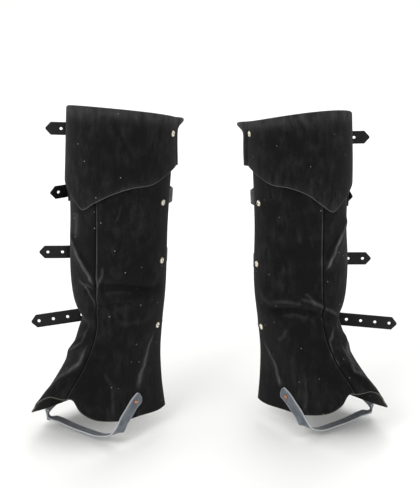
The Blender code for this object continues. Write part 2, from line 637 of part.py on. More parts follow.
def build_strap_rivet(leg, number, strap):
    """Nickel rivet through the inner panel (and the cuff) and the strap's root."""
    z = strap.rivet_z
    rise = rise_at_height(leg, np.array(-95.0), np.array(z))
    edge = float(row_at(EDGES, rise).medial)
    turn = -edge + math.degrees(strap.rivet_in / MEAN_RADIUS)
    rise = float(rise_at_height(leg, np.array(turn), np.array(z)))
    face = float(cuff_stands(leg, turn, rise)) + GAP
    centre = skin(leg, rise, turn, face)
    normal = facing(folded, leg, np.array(rise), np.array(turn))
    add_rivet(f"{leg.name}_rivet_{number}", centre, normal, RIVET_RADIUS, RIVET_HEIGHT, NICKEL_FINISH)


# The stirrup's ends on the panels, by degrees round the leg and share of the height, and its way
# under the foot, in the foot's frame
StirrupEnd = namedtuple("StirrupEnd", "turn rise")
STIRRUP_ENDS = (
    StirrupEnd(91.0, 0.068), StirrupEnd(89.0, 0.046), StirrupEnd(87.0, 0.023),
    StirrupEnd(84.5, 0.000), StirrupEnd(83.0, -0.024),
)
StirrupPoint = namedtuple("StirrupPoint", "u l z")
FOOT_CENTRE = StirrupPoint(0.060, 0.0, 0.060)
UNDER_FOOT = (
    StirrupPoint(0.066, -0.034, 0.0105), StirrupPoint(0.067, 0.0, 0.0085),
    StirrupPoint(0.066, 0.042, 0.0105),
)


def build_stirrup(leg):
    """Grey leather strap under the arch, riveted outside both panels near the hem."""
    stand = SUEDE / 2 + 2 * GAP + STIRRUP / 2
    rows = np.array(STIRRUP_ENDS)
    way = np.array(UNDER_FOOT)
    under = from_leg_frame(leg, way[:, 0], way[:, 1], way[:, 2])
    knots = np.concatenate([skin(leg, rows[:, 1], -rows[:, 0], stand), under,
                            skin(leg, rows[::-1, 1], rows[::-1, 0], stand)])
    out = np.concatenate([facing(folded, leg, rows[:, 1], -rows[:, 0]),
                          unit(under - from_leg_frame(leg, *FOOT_CENTRE)),
                          facing(folded, leg, rows[::-1, 1], rows[::-1, 0])])
    distance = np.concatenate([[0], np.cumsum(np.linalg.norm(np.diff(knots, axis=0), axis=1))])
    fine = np.linspace(0, distance[-1], 21)
    path = np.stack([smooth(distance, knots[:, k], fine) for k in range(3)], -1)
    out = np.stack([np.interp(fine, distance, out[:, k]) for k in range(3)], -1)
    along = unit(np.gradient(path, axis=0))
    out = unit(out - (out * along).sum(-1, keepdims=True) * along)
    across = np.cross(along, out)
    half = np.full(len(path), STIRRUP_WIDTH / 2)
    add_ribbon(f"{leg.name}_stirrup", path, across, out, half, STIRRUP / 2, STIRRUP_FINISH)
    for side, name in ((-1, "medial"), (1, "lateral")):
        place = path[1] if side < 0 else path[-2]
        normal = out[1] if side < 0 else out[-2]
        add_rivet(f"{leg.name}_stirrup_rivet_{name}", place + normal * (STIRRUP / 2 + GAP), normal,
                  SMALL_RIVET_RADIUS, SMALL_RIVET_HEIGHT, COPPER_FINISH, sides=8)


for old in list(bpy.data.objects):
    bpy.data.objects.remove(old)
GROUND = bpy.data.objects.new("sole_level", None)
GROUND.location = (0, 0, -HOLD_HEIGHT)
bpy.context.scene.collection.objects.link(GROUND)
SUEDE_FINISH = material("black suede", (0.020, 0.020, 0.022), 0.90)
LEATHER_FINISH = material("black strap leather", (0.006, 0.006, 0.007), 0.35)
STIRRUP_FINISH = material("slate stirrup leather", (0.10, 0.12, 0.15), 0.60)
NICKEL_FINISH = material("nickel plate", (0.60, 0.57, 0.52), 0.25, 1.0)
COPPER_FINISH = material("copper rivet", (0.50, 0.26, 0.14), 0.35, 1.0)

for this_leg in LEGS:
    build_panels(this_leg)
    build_cuff(this_leg)
    for index, this_strap in enumerate(this_leg.straps, start=1):
        this_seat = Seat(this_leg, this_strap.turn, this_strap.buckle_z)
        piece = build_strap(this_leg, index, this_strap, this_seat)
        build_buckle(this_leg, index, this_seat, piece)
        build_strap_rivet(this_leg, index, this_strap)
    build_stirrup(this_leg)
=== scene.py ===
import math
from collections import namedtuple

import bpy
import numpy as np
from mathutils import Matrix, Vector
from mathutils.geometry import delaunay_2d_cdt


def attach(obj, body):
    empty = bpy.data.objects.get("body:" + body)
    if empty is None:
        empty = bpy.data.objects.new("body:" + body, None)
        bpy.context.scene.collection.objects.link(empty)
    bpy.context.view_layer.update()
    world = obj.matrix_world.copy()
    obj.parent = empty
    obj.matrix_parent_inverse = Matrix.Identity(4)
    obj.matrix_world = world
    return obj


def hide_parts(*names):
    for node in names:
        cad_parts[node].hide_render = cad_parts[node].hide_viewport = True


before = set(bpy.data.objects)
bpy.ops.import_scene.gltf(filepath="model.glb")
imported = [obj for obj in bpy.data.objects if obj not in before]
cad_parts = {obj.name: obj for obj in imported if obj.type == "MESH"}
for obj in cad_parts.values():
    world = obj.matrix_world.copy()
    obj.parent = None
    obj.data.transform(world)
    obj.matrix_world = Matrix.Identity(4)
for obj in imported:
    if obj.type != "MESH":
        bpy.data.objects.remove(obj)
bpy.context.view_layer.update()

# The studio. The pair stands as worn on a pale seamless floor, under even white light from three
# big round softboxes, and is seen through a long lens from about 1.2 m above the floor.
SOLE_LEVEL = -0.360
CAMERA_PLACE = (0.0, -2.6, 0.797)
CAMERA_TILT = 19.05
CAMERA_LENS = 150.6
PALE_FLOOR = "#f4f4f2"
Softbox = namedtuple("Softbox", "place aim size watts")
SOFTBOXES = (
    Softbox((-1.6, -2.2, 1.9), (0.0, 0.0, -0.10), 1.6, 38),
    Softbox((1.9, -1.6, 1.5), (0.0, 0.0, -0.10), 1.4, 7),
    Softbox((0.2, 1.9, 1.8), (0.0, 0.0, 0.0), 1.4, 18),
)


def hex_linear(code):
    """sRGB hex colour as linear red, green, blue and alpha 1."""
    share = [int(code[k:k + 2], 16) / 255 for k in (1, 3, 5)]
    return (*(v / 12.92 if v <= 0.04045 else ((v + 0.055) / 1.055) ** 2.4 for v in share), 1.0)


class Finish:
    """Material with one Principled shader, its sockets set as given. Each method but feed adds a
    node and returns its output, to be an input of the next."""

    def __init__(self, name, **sockets):
        self.made = bpy.data.materials.new(name)
        self.made.use_nodes = True
        self.tree = self.made.node_tree
        self.shader = self.tree.nodes["Principled BSDF"]
        for key, value in sockets.items():
            self.shader.inputs[key.replace("_", " ")].default_value = value

    def add(self, kind, output, inputs, **settings):
        """A node with its properties set and each named input given a value or an output."""
        made = self.tree.nodes.new(kind)
        for key, value in settings.items():
            setattr(made, key, value)
        for key, value in inputs.items():
            if isinstance(value, bpy.types.NodeSocket):
                self.tree.links.new(value, made.inputs[key])
            else:
                made.inputs[key].default_value = value
        return made.outputs[output]

    def place(self):
        """Place on the object, in metres."""
        return self.add("ShaderNodeTexCoord", "Object", {})

    def mark(self, name):
        """Value that the mesh carries at each point under this name."""
        return self.add("ShaderNodeAttribute", "Fac", {}, attribute_name=name)

    def noise(self, place, scale, detail, roughness=0.5):
        """Cloudy value around a half, that changes over about 1 / scale metres."""
        return self.add("ShaderNodeTexNoise", "Fac", {"Vector": place, "Scale": scale, "Detail": detail,
                                                      "Roughness": roughness})

    def cells(self, place, scale, feature="F1"):
        """Distance to the nearest of scattered points, or to the edge between their cells."""
        return self.add("ShaderNodeTexVoronoi", "Distance", {"Vector": place, "Scale": scale},
                        feature=feature)

    def ranged(self, value, low, high, to_low=0.0, to_high=1.0):
        """Value carried from one range over to another and held inside it."""
        return self.add("ShaderNodeMapRange", "Result", {"Value": value, "From Min": low, "From Max": high,
                                                         "To Min": to_low, "To Max": to_high})

    def reckon(self, operation, *values, clamp=False):
        """One step of arithmetic on values and outputs."""
        return self.add("ShaderNodeMath", 0, dict(enumerate(values)), operation=operation, use_clamp=clamp)

    def blend(self, share, *ends):
        """Colour from the first end to the second by the share; an end is a hex code or an output."""
        first, second = (hex_linear(end) if isinstance(end, str) else end for end in ends)
        return self.add("ShaderNodeMix", "Result", {"Factor": share, "A": first, "B": second},
                        data_type="RGBA")

    def bump(self, height, strength, distance, **over):
        """Normal tipped by a height, over another's Normal where one is given."""
        return self.add("ShaderNodeBump", "Normal", {"Height": height, "Strength": strength,
                                                     "Distance": distance, **over})

    def feed(self, **outputs):
        """Links outputs to the shader's sockets and returns the material."""
        for key, value in outputs.items():
            self.tree.links.new(value, self.shader.inputs[key.replace("_", " ")])
        return self.made


world = bpy.data.worlds.new("white studio")
world.use_nodes = True
world.node_tree.nodes["Background"].inputs["Color"].default_value = (1.0, 1.0, 1.0, 1.0)
world.node_tree.nodes["Background"].inputs["Strength"].default_value = 0.95
bpy.context.scene.world = world
bpy.context.scene.view_settings.view_transform = "Standard"

lens = bpy.data.cameras.new("long lens")
lens.sensor_width, lens.lens = 36.0, CAMERA_LENS
camera = bpy.data.objects.new("camera", lens)
camera.location = CAMERA_PLACE
camera.rotation_euler = (math.radians(90 - CAMERA_TILT), 0, 0)
bpy.context.scene.collection.objects.link(camera)
bpy.context.scene.camera = camera

for number, box in enumerate(SOFTBOXES):
    light = bpy.data.lights.new(f"softbox_{number}", "AREA")
    light.shape, light.size, light.energy = "DISK", box.size, box.watts
    holder = bpy.data.objects.new(f"softbox_{number}", light)
    holder.location = box.place
    toward = Vector(box.aim) - Vector(box.place)
    holder.rotation_euler = toward.to_track_quat("-Z", "Y").to_euler()
    bpy.context.scene.collection.objects.link(holder)

floor_mesh = bpy.data.meshes.new("studio_floor")
floor_mesh.from_pydata([(x, y, SOLE_LEVEL) for x, y in ((-9, -9), (9, -9), (9, 9), (-9, 9))], [],
                       [(0, 1, 2, 3)])
studio_floor = bpy.data.objects.new("studio_floor", floor_mesh)
bpy.context.scene.collection.objects.link(studio_floor)
paper = Finish("white backdrop paper", Base_Color=hex_linear(PALE_FLOOR), Roughness=0.85)
floor_mesh.materials.append(paper.made)


# The leg panels. Each cover is two pieces of 1.8 mm black cowhide split, suede side out, sewn
# down the front and left open behind; worn, they hug the calf, crumple above the ankle and flare
# over the instep. Their form follows the solids' rings and edges, on a grid ten times finer.
SUEDE = 0.0018
GAP = 0.0003
COVER_HEIGHT = 0.430
MEAN_RADIUS = 0.065
TOE_OUT = 38.5
LEAN = 0.0244

Ring = namedtuple("Ring", "rise back_u back_z front_u front_z half_width shift drop tilt yaw square")
RIGHT_RINGS = (
    Ring(0.00, -0.074, 0.034, 0.135, 0.046, 0.0620, 0.0060, 0.012, -0.005, 0, 3.2),
    Ring(0.09, -0.074, 0.062, 0.111, 0.083, 0.0505, 0.0000, 0.009, -0.002, 0, 2.8),
    Ring(0.19, -0.072, 0.100, 0.086, 0.120, 0.0465, -0.0025, 0.004, 0.000, -3, 2.4),
    Ring(0.29, -0.069, 0.140, 0.066, 0.156, 0.0490, -0.0040, 0.000, 0.000, -8, 2.2),
    Ring(0.39, -0.068, 0.181, 0.062, 0.193, 0.0600, 0.0010, 0.000, 0.000, -12, 2.1),
    Ring(0.65, -0.070, 0.291, 0.066, 0.303, 0.0640, 0.0010, 0.000, 0.000, -13, 2.1),
    Ring(0.85, -0.072, 0.376, 0.069, 0.391, 0.0670, 0.0000, 0.003, -0.001, -13, 2.1),
    Ring(1.00, -0.073, 0.416, 0.070, 0.464, 0.0680, 0.0000, -0.001, -0.0025, -13, 2.1),
)
LEFT_RINGS = (
    Ring(0.00, -0.074, 0.034, 0.136, 0.046, 0.0590, 0.0060, 0.012, -0.005, 0, 3.2),
    Ring(0.09, -0.074, 0.060, 0.113, 0.083, 0.0490, -0.0010, 0.009, -0.002, 0, 2.8),
    Ring(0.19, -0.072, 0.097, 0.086, 0.119, 0.0450, -0.0045, 0.004, 0.000, -3, 2.4),
    Ring(0.29, -0.069, 0.136, 0.066, 0.154, 0.0500, -0.0050, 0.000, 0.000, -8, 2.2),
    Ring(0.39, -0.068, 0.177, 0.062, 0.191, 0.0600, -0.0015, 0.000, 0.000, -12, 2.1),
    Ring(0.65, -0.070, 0.284, 0.065, 0.297, 0.0600, -0.0010, 0.000, 0.000, -13, 2.1),
    Ring(0.85, -0.071, 0.367, 0.068, 0.383, 0.0630, 0.0000, 0.003, -0.002, -13, 2.1),
    Ring(1.00, -0.072, 0.408, 0.069, 0.453, 0.0645, 0.0000, 0.003, -0.003, -13, 2.1),
)
Edge = namedtuple("Edge", "rise seam medial lateral")
EDGES = (
    Edge(0.00, 3, 122, 136), Edge(0.07, 6, 121, 136), Edge(0.18, 10, 119, 136),
    Edge(0.28, 3, 115, 135), Edge(0.40, 0, 109, 133), Edge(0.60, 0, 105, 129),
    Edge(0.80, 0, 104, 126), Edge(1.00, 0, 106, 126),
)
# The hem, up to 10 mm lower than the solids' at the back of the inner side, nearer to the photo
Hem = namedtuple("Hem", "turn lift")
HEM = (
    Hem(-140, -0.009), Hem(-110, -0.009), Hem(-74, 0.003), Hem(-44, 0.011), Hem(-29, 0.018),
    Hem(-14, 0.029), Hem(0, 0.026), Hem(10, 0.025), Hem(25, 0.013), Hem(41, 0.002),
    Hem(60, 0.000), Hem(140, 0.000),
)
CuffEdge = namedtuple("CuffEdge", "turn depth")
RIGHT_CUFF = (
    CuffEdge(-112, 0.071), CuffEdge(-90, 0.077), CuffEdge(-62, 0.089), CuffEdge(-40, 0.092),
    CuffEdge(-20, 0.101), CuffEdge(0, 0.116), CuffEdge(13, 0.127), CuffEdge(26, 0.117),
    CuffEdge(48, 0.100), CuffEdge(75, 0.087), CuffEdge(130, 0.080),
)
LEFT_CUFF = (
    CuffEdge(-112, 0.071), CuffEdge(-90, 0.077), CuffEdge(-62, 0.089), CuffEdge(-40, 0.092),
    CuffEdge(-20, 0.102), CuffEdge(-4, 0.118), CuffEdge(8, 0.129), CuffEdge(22, 0.119),
    CuffEdge(45, 0.103), CuffEdge(72, 0.092), CuffEdge(130, 0.085),
)

# Main folds, as in the solids: from one place to another, half width, depth (ridge above 0)
Fold = namedtuple("Fold", "rise turn rise_end turn_end width depth")
RIGHT_FOLDS = (
    Fold(0.50, -15, 0.49, -75, 0.010, 0.0020), Fold(0.455, -8, 0.44, -80, 0.009, -0.0042),
    Fold(0.42, -12, 0.415, -70, 0.008, 0.0022), Fold(0.385, 0, 0.395, -55, 0.008, -0.0024),
    Fold(0.32, 62, 0.30, 20, 0.011, -0.0050), Fold(0.585, 40, 0.48, 6, 0.009, 0.0028),
    Fold(0.27, 12, 0.20, 38, 0.008, 0.0028), Fold(0.175, -2, 0.03, 25, 0.008, 0.0032),
    Fold(0.22, 55, 0.12, 60, 0.009, -0.0030),
)
LEFT_FOLDS = (
    Fold(0.42, -30, 0.41, -78, 0.010, 0.0022), Fold(0.345, -5, 0.36, -82, 0.010, -0.0050),
    Fold(0.40, -22, 0.315, 24, 0.008, 0.0030), Fold(0.32, 68, 0.29, 36, 0.011, -0.0050),
    Fold(0.64, 42, 0.52, 9, 0.009, 0.0028), Fold(0.23, 40, 0.17, 11, 0.008, 0.0026),
    Fold(0.20, 0, 0.03, 21, 0.008, 0.0032), Fold(0.22, 60, 0.12, 62, 0.009, -0.0030),
)

# Creases put in over the folds: (rise, turn) places, half width, depth, and how far the nap is rubbed
# pale along it (above 0), or how dark painted shade lies along its trough (below 0)
Crease = namedtuple("Crease", "places width depth pale")
RIGHT_CREASES = (
    Crease(((0.60, 46), (0.572, 34), (0.53, 20), (0.485, 8), (0.458, 3)), 0.0022, 0.0012, 0.9),
    Crease(((0.59, 33), (0.54, 14), (0.50, 2)), 0.0040, -0.0010, -0.3),
    Crease(((0.525, -9), (0.502, -8), (0.475, -4), (0.445, 1)), 0.0018, 0.0010, 0.35),
    Crease(((0.465, 26), (0.455, 20), (0.452, 11), (0.445, 2)), 0.0022, 0.0010, 0.35),
    Crease(((0.457, 18), (0.429, 9), (0.394, 2), (0.37, 0)), 0.0018, 0.0011, 0.45),
    Crease(((0.438, 16), (0.41, 9), (0.385, 5)), 0.0030, -0.0012, -0.5),
    Crease(((0.446, -5), (0.46, -19), (0.463, -35), (0.452, -53), (0.425, -84)), 0.0048, -0.0014, -0.9),
    Crease(((0.43, -8), (0.438, -26), (0.436, -48)), 0.0035, 0.0007, 0.08),
    Crease(((0.383, 0), (0.39, -12), (0.401, -28), (0.404, -54)), 0.0036, -0.0011, -0.6),
    Crease(((0.30, 12), (0.24, 11), (0.215, 25), (0.198, 40)), 0.0024, 0.0012, 0.45),
    Crease(((0.238, 1), (0.175, -2), (0.134, 5), (0.098, 16), (0.029, 24)), 0.0026, 0.0014, 0.6),
    Crease(((0.13, -2), (0.09, 3), (0.05, 8)), 0.0045, -0.0016, -0.5),
    Crease(((0.285, -93), (0.213, -91), (0.147, -90), (0.095, -90)), 0.0016, 0.0009, 0.8),
    Crease(((0.27, -86), (0.20, -83), (0.13, -82)), 0.0045, -0.0009, -0.2),
    Crease(((0.171, -38), (0.118, -61), (0.017, -76)), 0.0020, 0.0006, 0.15),
    Crease(((0.732, -30), (0.70, -27), (0.672, -23)), 0.0016, 0.0004, 0.15),
    Crease(((0.69, 28), (0.64, 30), (0.60, 33)), 0.0050, 0.0003, 0.35),
    Crease(((0.34, -30), (0.325, -45), (0.33, -70)), 0.0050, 0.0007, 0.1),
    Crease(((0.56, 72), (0.53, 92), (0.535, 118)), 0.0060, -0.0012, -0.2),
    Crease(((0.43, 66), (0.41, 90), (0.42, 120)), 0.0055, 0.0012, 0.2),
    Crease(((0.27, 70), (0.25, 92), (0.20, 112)), 0.0050, 0.0012, 0.3),
    Crease(((0.17, 66), (0.12, 90), (0.10, 118)), 0.0060, -0.0012, -0.2),
)
LEFT_CREASES = (
    Crease(((0.655, 46), (0.627, 36), (0.576, 19), (0.523, 9), (0.50, 5)), 0.0022, 0.0012, 0.9),
    Crease(((0.62, 25), (0.57, 9), (0.53, 2)), 0.0040, -0.0010, -0.3),
    Crease(((0.425, -22), (0.418, -19), (0.401, -15), (0.379, -10)), 0.0018, 0.0010, 0.3),
    Crease(((0.41, -27), (0.402, -22), (0.381, -7), (0.352, 7), (0.315, 24)), 0.0024, 0.0012, 0.4),
    Crease(((0.425, -12), (0.408, -9), (0.39, -3)), 0.0020, -0.0011, -0.5),
    Crease(((0.344, -84), (0.363, -58), (0.368, -38), (0.35, -16), (0.328, 2)), 0.0048, -0.0016, -1.0),
    Crease(((0.335, -60), (0.342, -38), (0.33, -20)), 0.0040, 0.0007, 0.15),
    Crease(((0.39, -70), (0.395, -45), (0.388, -25)), 0.0036, 0.0007, 0.25),
    Crease(((0.285, 14), (0.242, -2), (0.193, -9), (0.14, -8)), 0.0022, 0.0010, 0.5),
    Crease(((0.22, 15), (0.194, 9), (0.129, 4), (0.095, 17), (0.027, 21)), 0.0026, 0.0014, 0.6),
    Crease(((0.168, -3), (0.108, 2), (0.064, 6)), 0.0045, -0.0018, -0.6),
    Crease(((0.221, 38), (0.196, 18), (0.169, 11)), 0.0040, 0.0010, 0.7),
    Crease(((0.236, -108), (0.202, -100), (0.164, -94), (0.105, -92), (0.08, -91)), 0.0016, 0.0009, 0.7),
    Crease(((0.19, -92), (0.15, -87), (0.10, -84)), 0.0045, -0.0009, -0.2),
    Crease(((0.147, -62), (0.08, -70), (0.015, -80)), 0.0020, 0.0006, 0.15),
    Crease(((0.244, -80), (0.265, -68), (0.29, -56)), 0.0030, 0.0006, 0.25),
    Crease(((0.66, -34), (0.63, -30), (0.598, -27)), 0.0020, 0.0004, 0.08),
    Crease(((0.627, -17), (0.60, -14), (0.582, -12)), 0.0020, 0.0004, 0.08),
    Crease(((0.55, 74), (0.52, 94), (0.53, 118)), 0.0060, -0.0012, -0.2),
    Crease(((0.44, 70), (0.40, 92), (0.41, 120)), 0.0055, 0.0012, 0.2),
    Crease(((0.26, 66), (0.24, 90), (0.19, 114)), 0.0050, 0.0012, 0.3),
    Crease(((0.16, 70), (0.12, 92), (0.09, 118)), 0.0060, -0.0012, -0.2),
)

# Straps from the top down: rivet height and distance from the edge, buckle height and turn, free
# holes, first hole from the point, and how far the stiff tail springs out
Strap = namedtuple("Strap", "rivet_z rivet_in buckle_z turn free_holes first_hole swing")
RIGHT_STRAPS = (
    Strap(0.420, 0.011, 0.406, 112, 2, 0.0210, 44), Strap(0.328, 0.020, 0.325, 100, 2, 0.0115, 30),
    Strap(0.245, 0.020, 0.232, 112, 3, 0.0115, 41), Strap(0.149, 0.019, 0.145, 117, 5, 0.0105, 39),
)
LEFT_STRAPS = (
    Strap(0.412, 0.006, 0.387, 117, 2, 0.0210, 40), Strap(0.319, 0.017, 0.312, 100, 1, 0.0115, 25),
    Strap(0.231, 0.015, 0.212, 123, 3, 0.0115, 34), Strap(0.137, 0.014, 0.128, 124, 6, 0.0105, 34),
)
Leg = namedtuple("Leg", "name out ankle_x ankle_y rings folds creases cuff side_curl straps seed")
LEGS = (
    Leg("right", -1, -0.128, 0.000, RIGHT_RINGS, RIGHT_FOLDS, RIGHT_CREASES, RIGHT_CUFF, 0.002,
        RIGHT_STRAPS, 3),
    Leg("left", 1, 0.130, 0.020, LEFT_RINGS, LEFT_FOLDS, LEFT_CREASES, LEFT_CUFF, 0.006,
        LEFT_STRAPS, 8),
)


def smooth(knots, values, x):
    """Cubic through the knots with parabolic slopes, straight beyond both ends."""
    knots, values = np.asarray(knots, float), np.asarray(values, float)
    slopes = np.gradient(values, knots)
    inside = np.clip(x, knots[0], knots[-1])
    i = np.clip(np.searchsorted(knots, inside, side="right") - 1, 0, len(knots) - 2)
    step = knots[i + 1] - knots[i]
    t = (inside - knots[i]) / step
    curve = ((2 * t**3 - 3 * t**2 + 1) * values[i] + (t**3 - 2 * t**2 + t) * step * slopes[i]
             + (3 * t**2 - 2 * t**3) * values[i + 1] + (t**3 - t**2) * step * slopes[i + 1])
    return curve + (x - inside) * np.where(x < inside, slopes[0], slopes[-1])


def row_at(rows, x):
    """The table's columns, smoothed between its rows, at x of the first column."""
    kind = type(rows[0])
    knots = [row[0] for row in rows]
    return kind(*(smooth(knots, [row[k] for row in rows], x) for k in range(len(kind._fields))))


def unit(vectors):
    """Vectors divided by their lengths."""
    return vectors / np.linalg.norm(vectors, axis=-1, keepdims=True)


def ease(share):
    """Smooth step: 3 t squared less 2 t cubed, with t held between 0 and 1."""
    t = np.clip(share, 0, 1)
    return t**2 * (3 - 2 * t)


def from_leg_frame(leg, u, l, z):
    """Point of the foot's own frame in the row's: u forward along the toes, l to the outer side,
    z up from the soles, the leg leaning inwards as it rises."""
    toe = math.radians(TOE_OUT)
    x = leg.ankle_x + leg.out * (math.sin(toe) * u + math.cos(toe) * l - LEAN * z)
    y = leg.ankle_y - math.cos(toe) * u + math.sin(toe) * l
    return np.stack(np.broadcast_arrays(x, y, z + SOLE_LEVEL), -1)


def plain(leg, rise, turn):
    """Unfolded cover: a super-ellipse ring at a share of the height, at turn degrees from the
    front, tilted, drooped and turned as the table says."""
    ring = row_at(leg.rings, rise)
    angle = np.radians(turn)
    c, s = np.cos(angle), np.sin(angle)
    power = 2 / ring.square
    along = np.sign(c) * np.abs(c) ** power
    across = np.sign(s) * np.abs(s) ** power
    u = (ring.front_u + ring.back_u) / 2 + along * (ring.front_u - ring.back_u) / 2
    z = (ring.front_z + ring.back_z) / 2 + along * (ring.front_z - ring.back_z) / 2
    z = z - ring.drop * s**2 + ring.tilt * s
    l = ring.half_width * across + ring.shift
    yaw = np.radians(ring.yaw)
    return from_leg_frame(leg, u * np.cos(yaw) - l * np.sin(yaw), u * np.sin(yaw) + l * np.cos(yaw), z)


def facing(surface, leg, rise, turn):
    """Outward unit normal of a surface(leg, rise, turn), from its neighbouring points."""
    around = surface(leg, rise, turn + 1.0) - surface(leg, rise, turn - 1.0)
    up = surface(leg, rise + 0.004, turn) - surface(leg, rise - 0.004, turn)
    return leg.out * unit(np.cross(around, up))


def laid_out(rise, turn):
    """Place on the cover laid flat, in metres: up from the hem, and round from the front."""
    return rise * COVER_HEIGHT, np.radians(turn) * MEAN_RADIUS


def off_line(rise, turn, start, end):
    """Squared distance from the straight line between two places, and the share along it."""
    up, around = laid_out(rise, turn)
    (up0, around0), (up1, around1) = laid_out(*start), laid_out(*end)
    long_up, long_around = up1 - up0, around1 - around0
    share = ((up - up0) * long_up + (around - around0) * long_around) / (long_up**2 + long_around**2)
    held = np.clip(share, 0, 1)
    return (up - up0 - held * long_up)**2 + (around - around0 - held * long_around)**2, share


def folded(leg, rise, turn):
    """Plain cover pushed out along its normal by its folds, each a bell across its line."""
    height = 0.0
    for fold in leg.folds:
        away, _ = off_line(rise, turn, (fold.rise, fold.turn), (fold.rise_end, fold.turn_end))
        height = height + fold.depth * np.exp(-away / fold.width**2)
    return plain(leg, rise, turn) + np.asarray(height)[..., None] * facing(plain, leg, rise, turn)


def skin(leg, rise, turn, lift=0.0):
    """Point of the folded cover, lifted off its middle surface along its outward normal."""
    rise, turn, lift = np.broadcast_arrays(rise * 1.0, turn * 1.0, lift * 1.0)
    return folded(leg, rise, turn) + lift[..., None] * facing(folded, leg, rise, turn)


def creased(leg, rise, turn):
    """Height and paleness added by the creases, a paleness below 0 being painted shade along a
    trough: a bell across each polyline, easing off at both of its ends, bent a little by a slow
    sine so that no line is ruled."""
    wander = 0.5 * np.sin(rise * 61 + leg.seed) + 0.3 * np.sin(rise * 143 + turn * 0.11)
    sway = 0.0012 * np.sin(turn * 0.19 + leg.seed) + 0.0006 * np.sin(turn * 0.47)
    height, pale = np.zeros(rise.shape), np.zeros(rise.shape)
    for crease in leg.creases:
        places = crease.places
        away, passed = np.full(rise.shape, 1.0), np.zeros(rise.shape)
        for k, (start, end) in enumerate(zip(places, places[1:])):
            off, share = off_line(rise + sway, turn + wander, start, end)
            nearer = off < away
            away = np.where(nearer, off, away)
            passed = np.where(nearer, (k + np.clip(share, 0, 1)) / (len(places) - 1), passed)
        kept = ease(passed / 0.22) * ease((1 - passed) / 0.22) + 0.25 * np.exp(-away / 1e-6)
        bell = np.exp(-away / crease.width**2) * np.clip(kept, 0, 1)
        height += crease.depth * bell
        # below 0 this paleness is painted shade along the crease's trough
        pale += crease.pale * np.exp(-away / (0.8 * crease.width)**2) * np.clip(kept, 0, 1)
    return height, pale


def unevenness(leg, rise, turn, reach, depth, count, seed):
    """Soft lumps of worn suede: many wide bells at seeded random places, added up."""
    chance = np.random.default_rng(seed + leg.seed)
    up, around = laid_out(rise, turn)
    total = np.zeros(rise.shape)
    for at_up, at_around, size in zip(chance.uniform(0, COVER_HEIGHT, count),
                                      chance.uniform(-0.15, 0.16, count),
                                      chance.uniform(-1, 1, count)):
        total += size * np.exp(-((up - at_up)**2 * 0.6 + (around - at_around)**2 * 1.7) / reach**2)
    return depth * total


def summed(steps):
    """Running sum of the steps, from 0."""
    return np.concatenate([[0], np.cumsum(steps)])


def spaced(length, coarse, fine=0.0005, reach=0.006):
    """Shares from 0 to 1 of a length, in steps that grow from fine at both ends to coarse."""
    place = np.linspace(0, length, 4001)
    from_end = np.minimum(place, length - place)
    step = fine + (coarse - fine) * (1 - np.exp(-from_end / reach))
    passed = summed(np.diff(place) * 2 / (step[1:] + step[:-1]))
    return np.interp(np.linspace(0, passed[-1], int(passed[-1]) + 1), passed, place) / length


def new_piece(name, points, faces, finish, node, slot, marks=None, sharp=50):
    """Mesh piece that stands for a CAD node: smooth but for sharp edges, facing outwards."""
    mesh = bpy.data.meshes.new(name)
    mesh.from_pydata(points.tolist(), [], faces.tolist())
    mesh.validate()
    mesh.shade_smooth()
    mesh.set_sharp_from_angle(angle=math.radians(sharp))
    for mark, values in (marks or {}).items():
        mesh.attributes.new(mark, "FLOAT", "POINT").data.foreach_set("value", values.ravel())
    mesh.materials.append(finish)
    made = bpy.data.objects.new(name, mesh)
    bpy.context.scene.collection.objects.link(made)
    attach(made, "root")
    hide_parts(node)
    return made


def cells_of(index):
    """The four corners of each cell in a grid of point numbers."""
    return np.stack([index[:-1, :-1], index[:-1, 1:], index[1:, 1:], index[1:, :-1]], -1)


def wall_of(outer, inner):
    """Closed sheet between two like grids: quads on both faces and a strip round the border,
    all turned to face outwards."""
    rows, columns = outer.shape[:2]
    index = np.arange(rows * columns).reshape(rows, columns)
    count = rows * columns
    face = cells_of(index).reshape(-1, 4)
    rim = np.concatenate([index[0, :-1], index[:-1, -1], index[-1, :0:-1], index[:0:-1, 0]])
    after = np.roll(rim, -1)
    strip = np.stack([after, rim, rim + count, after + count], -1)
    points = np.concatenate([outer.reshape(-1, 3), inner.reshape(-1, 3)])
    faces = np.concatenate([face, face[:, ::-1] + count, strip])
    corner = points[face]
    normal = np.cross(corner[:, 1] - corner[:, 0], corner[:, 3] - corner[:, 0])
    thick = points[face[:, 0]] - points[face[:, 0] + count]
    if (normal * thick).sum() < 0:
        faces = faces[:, ::-1]
    return points, faces


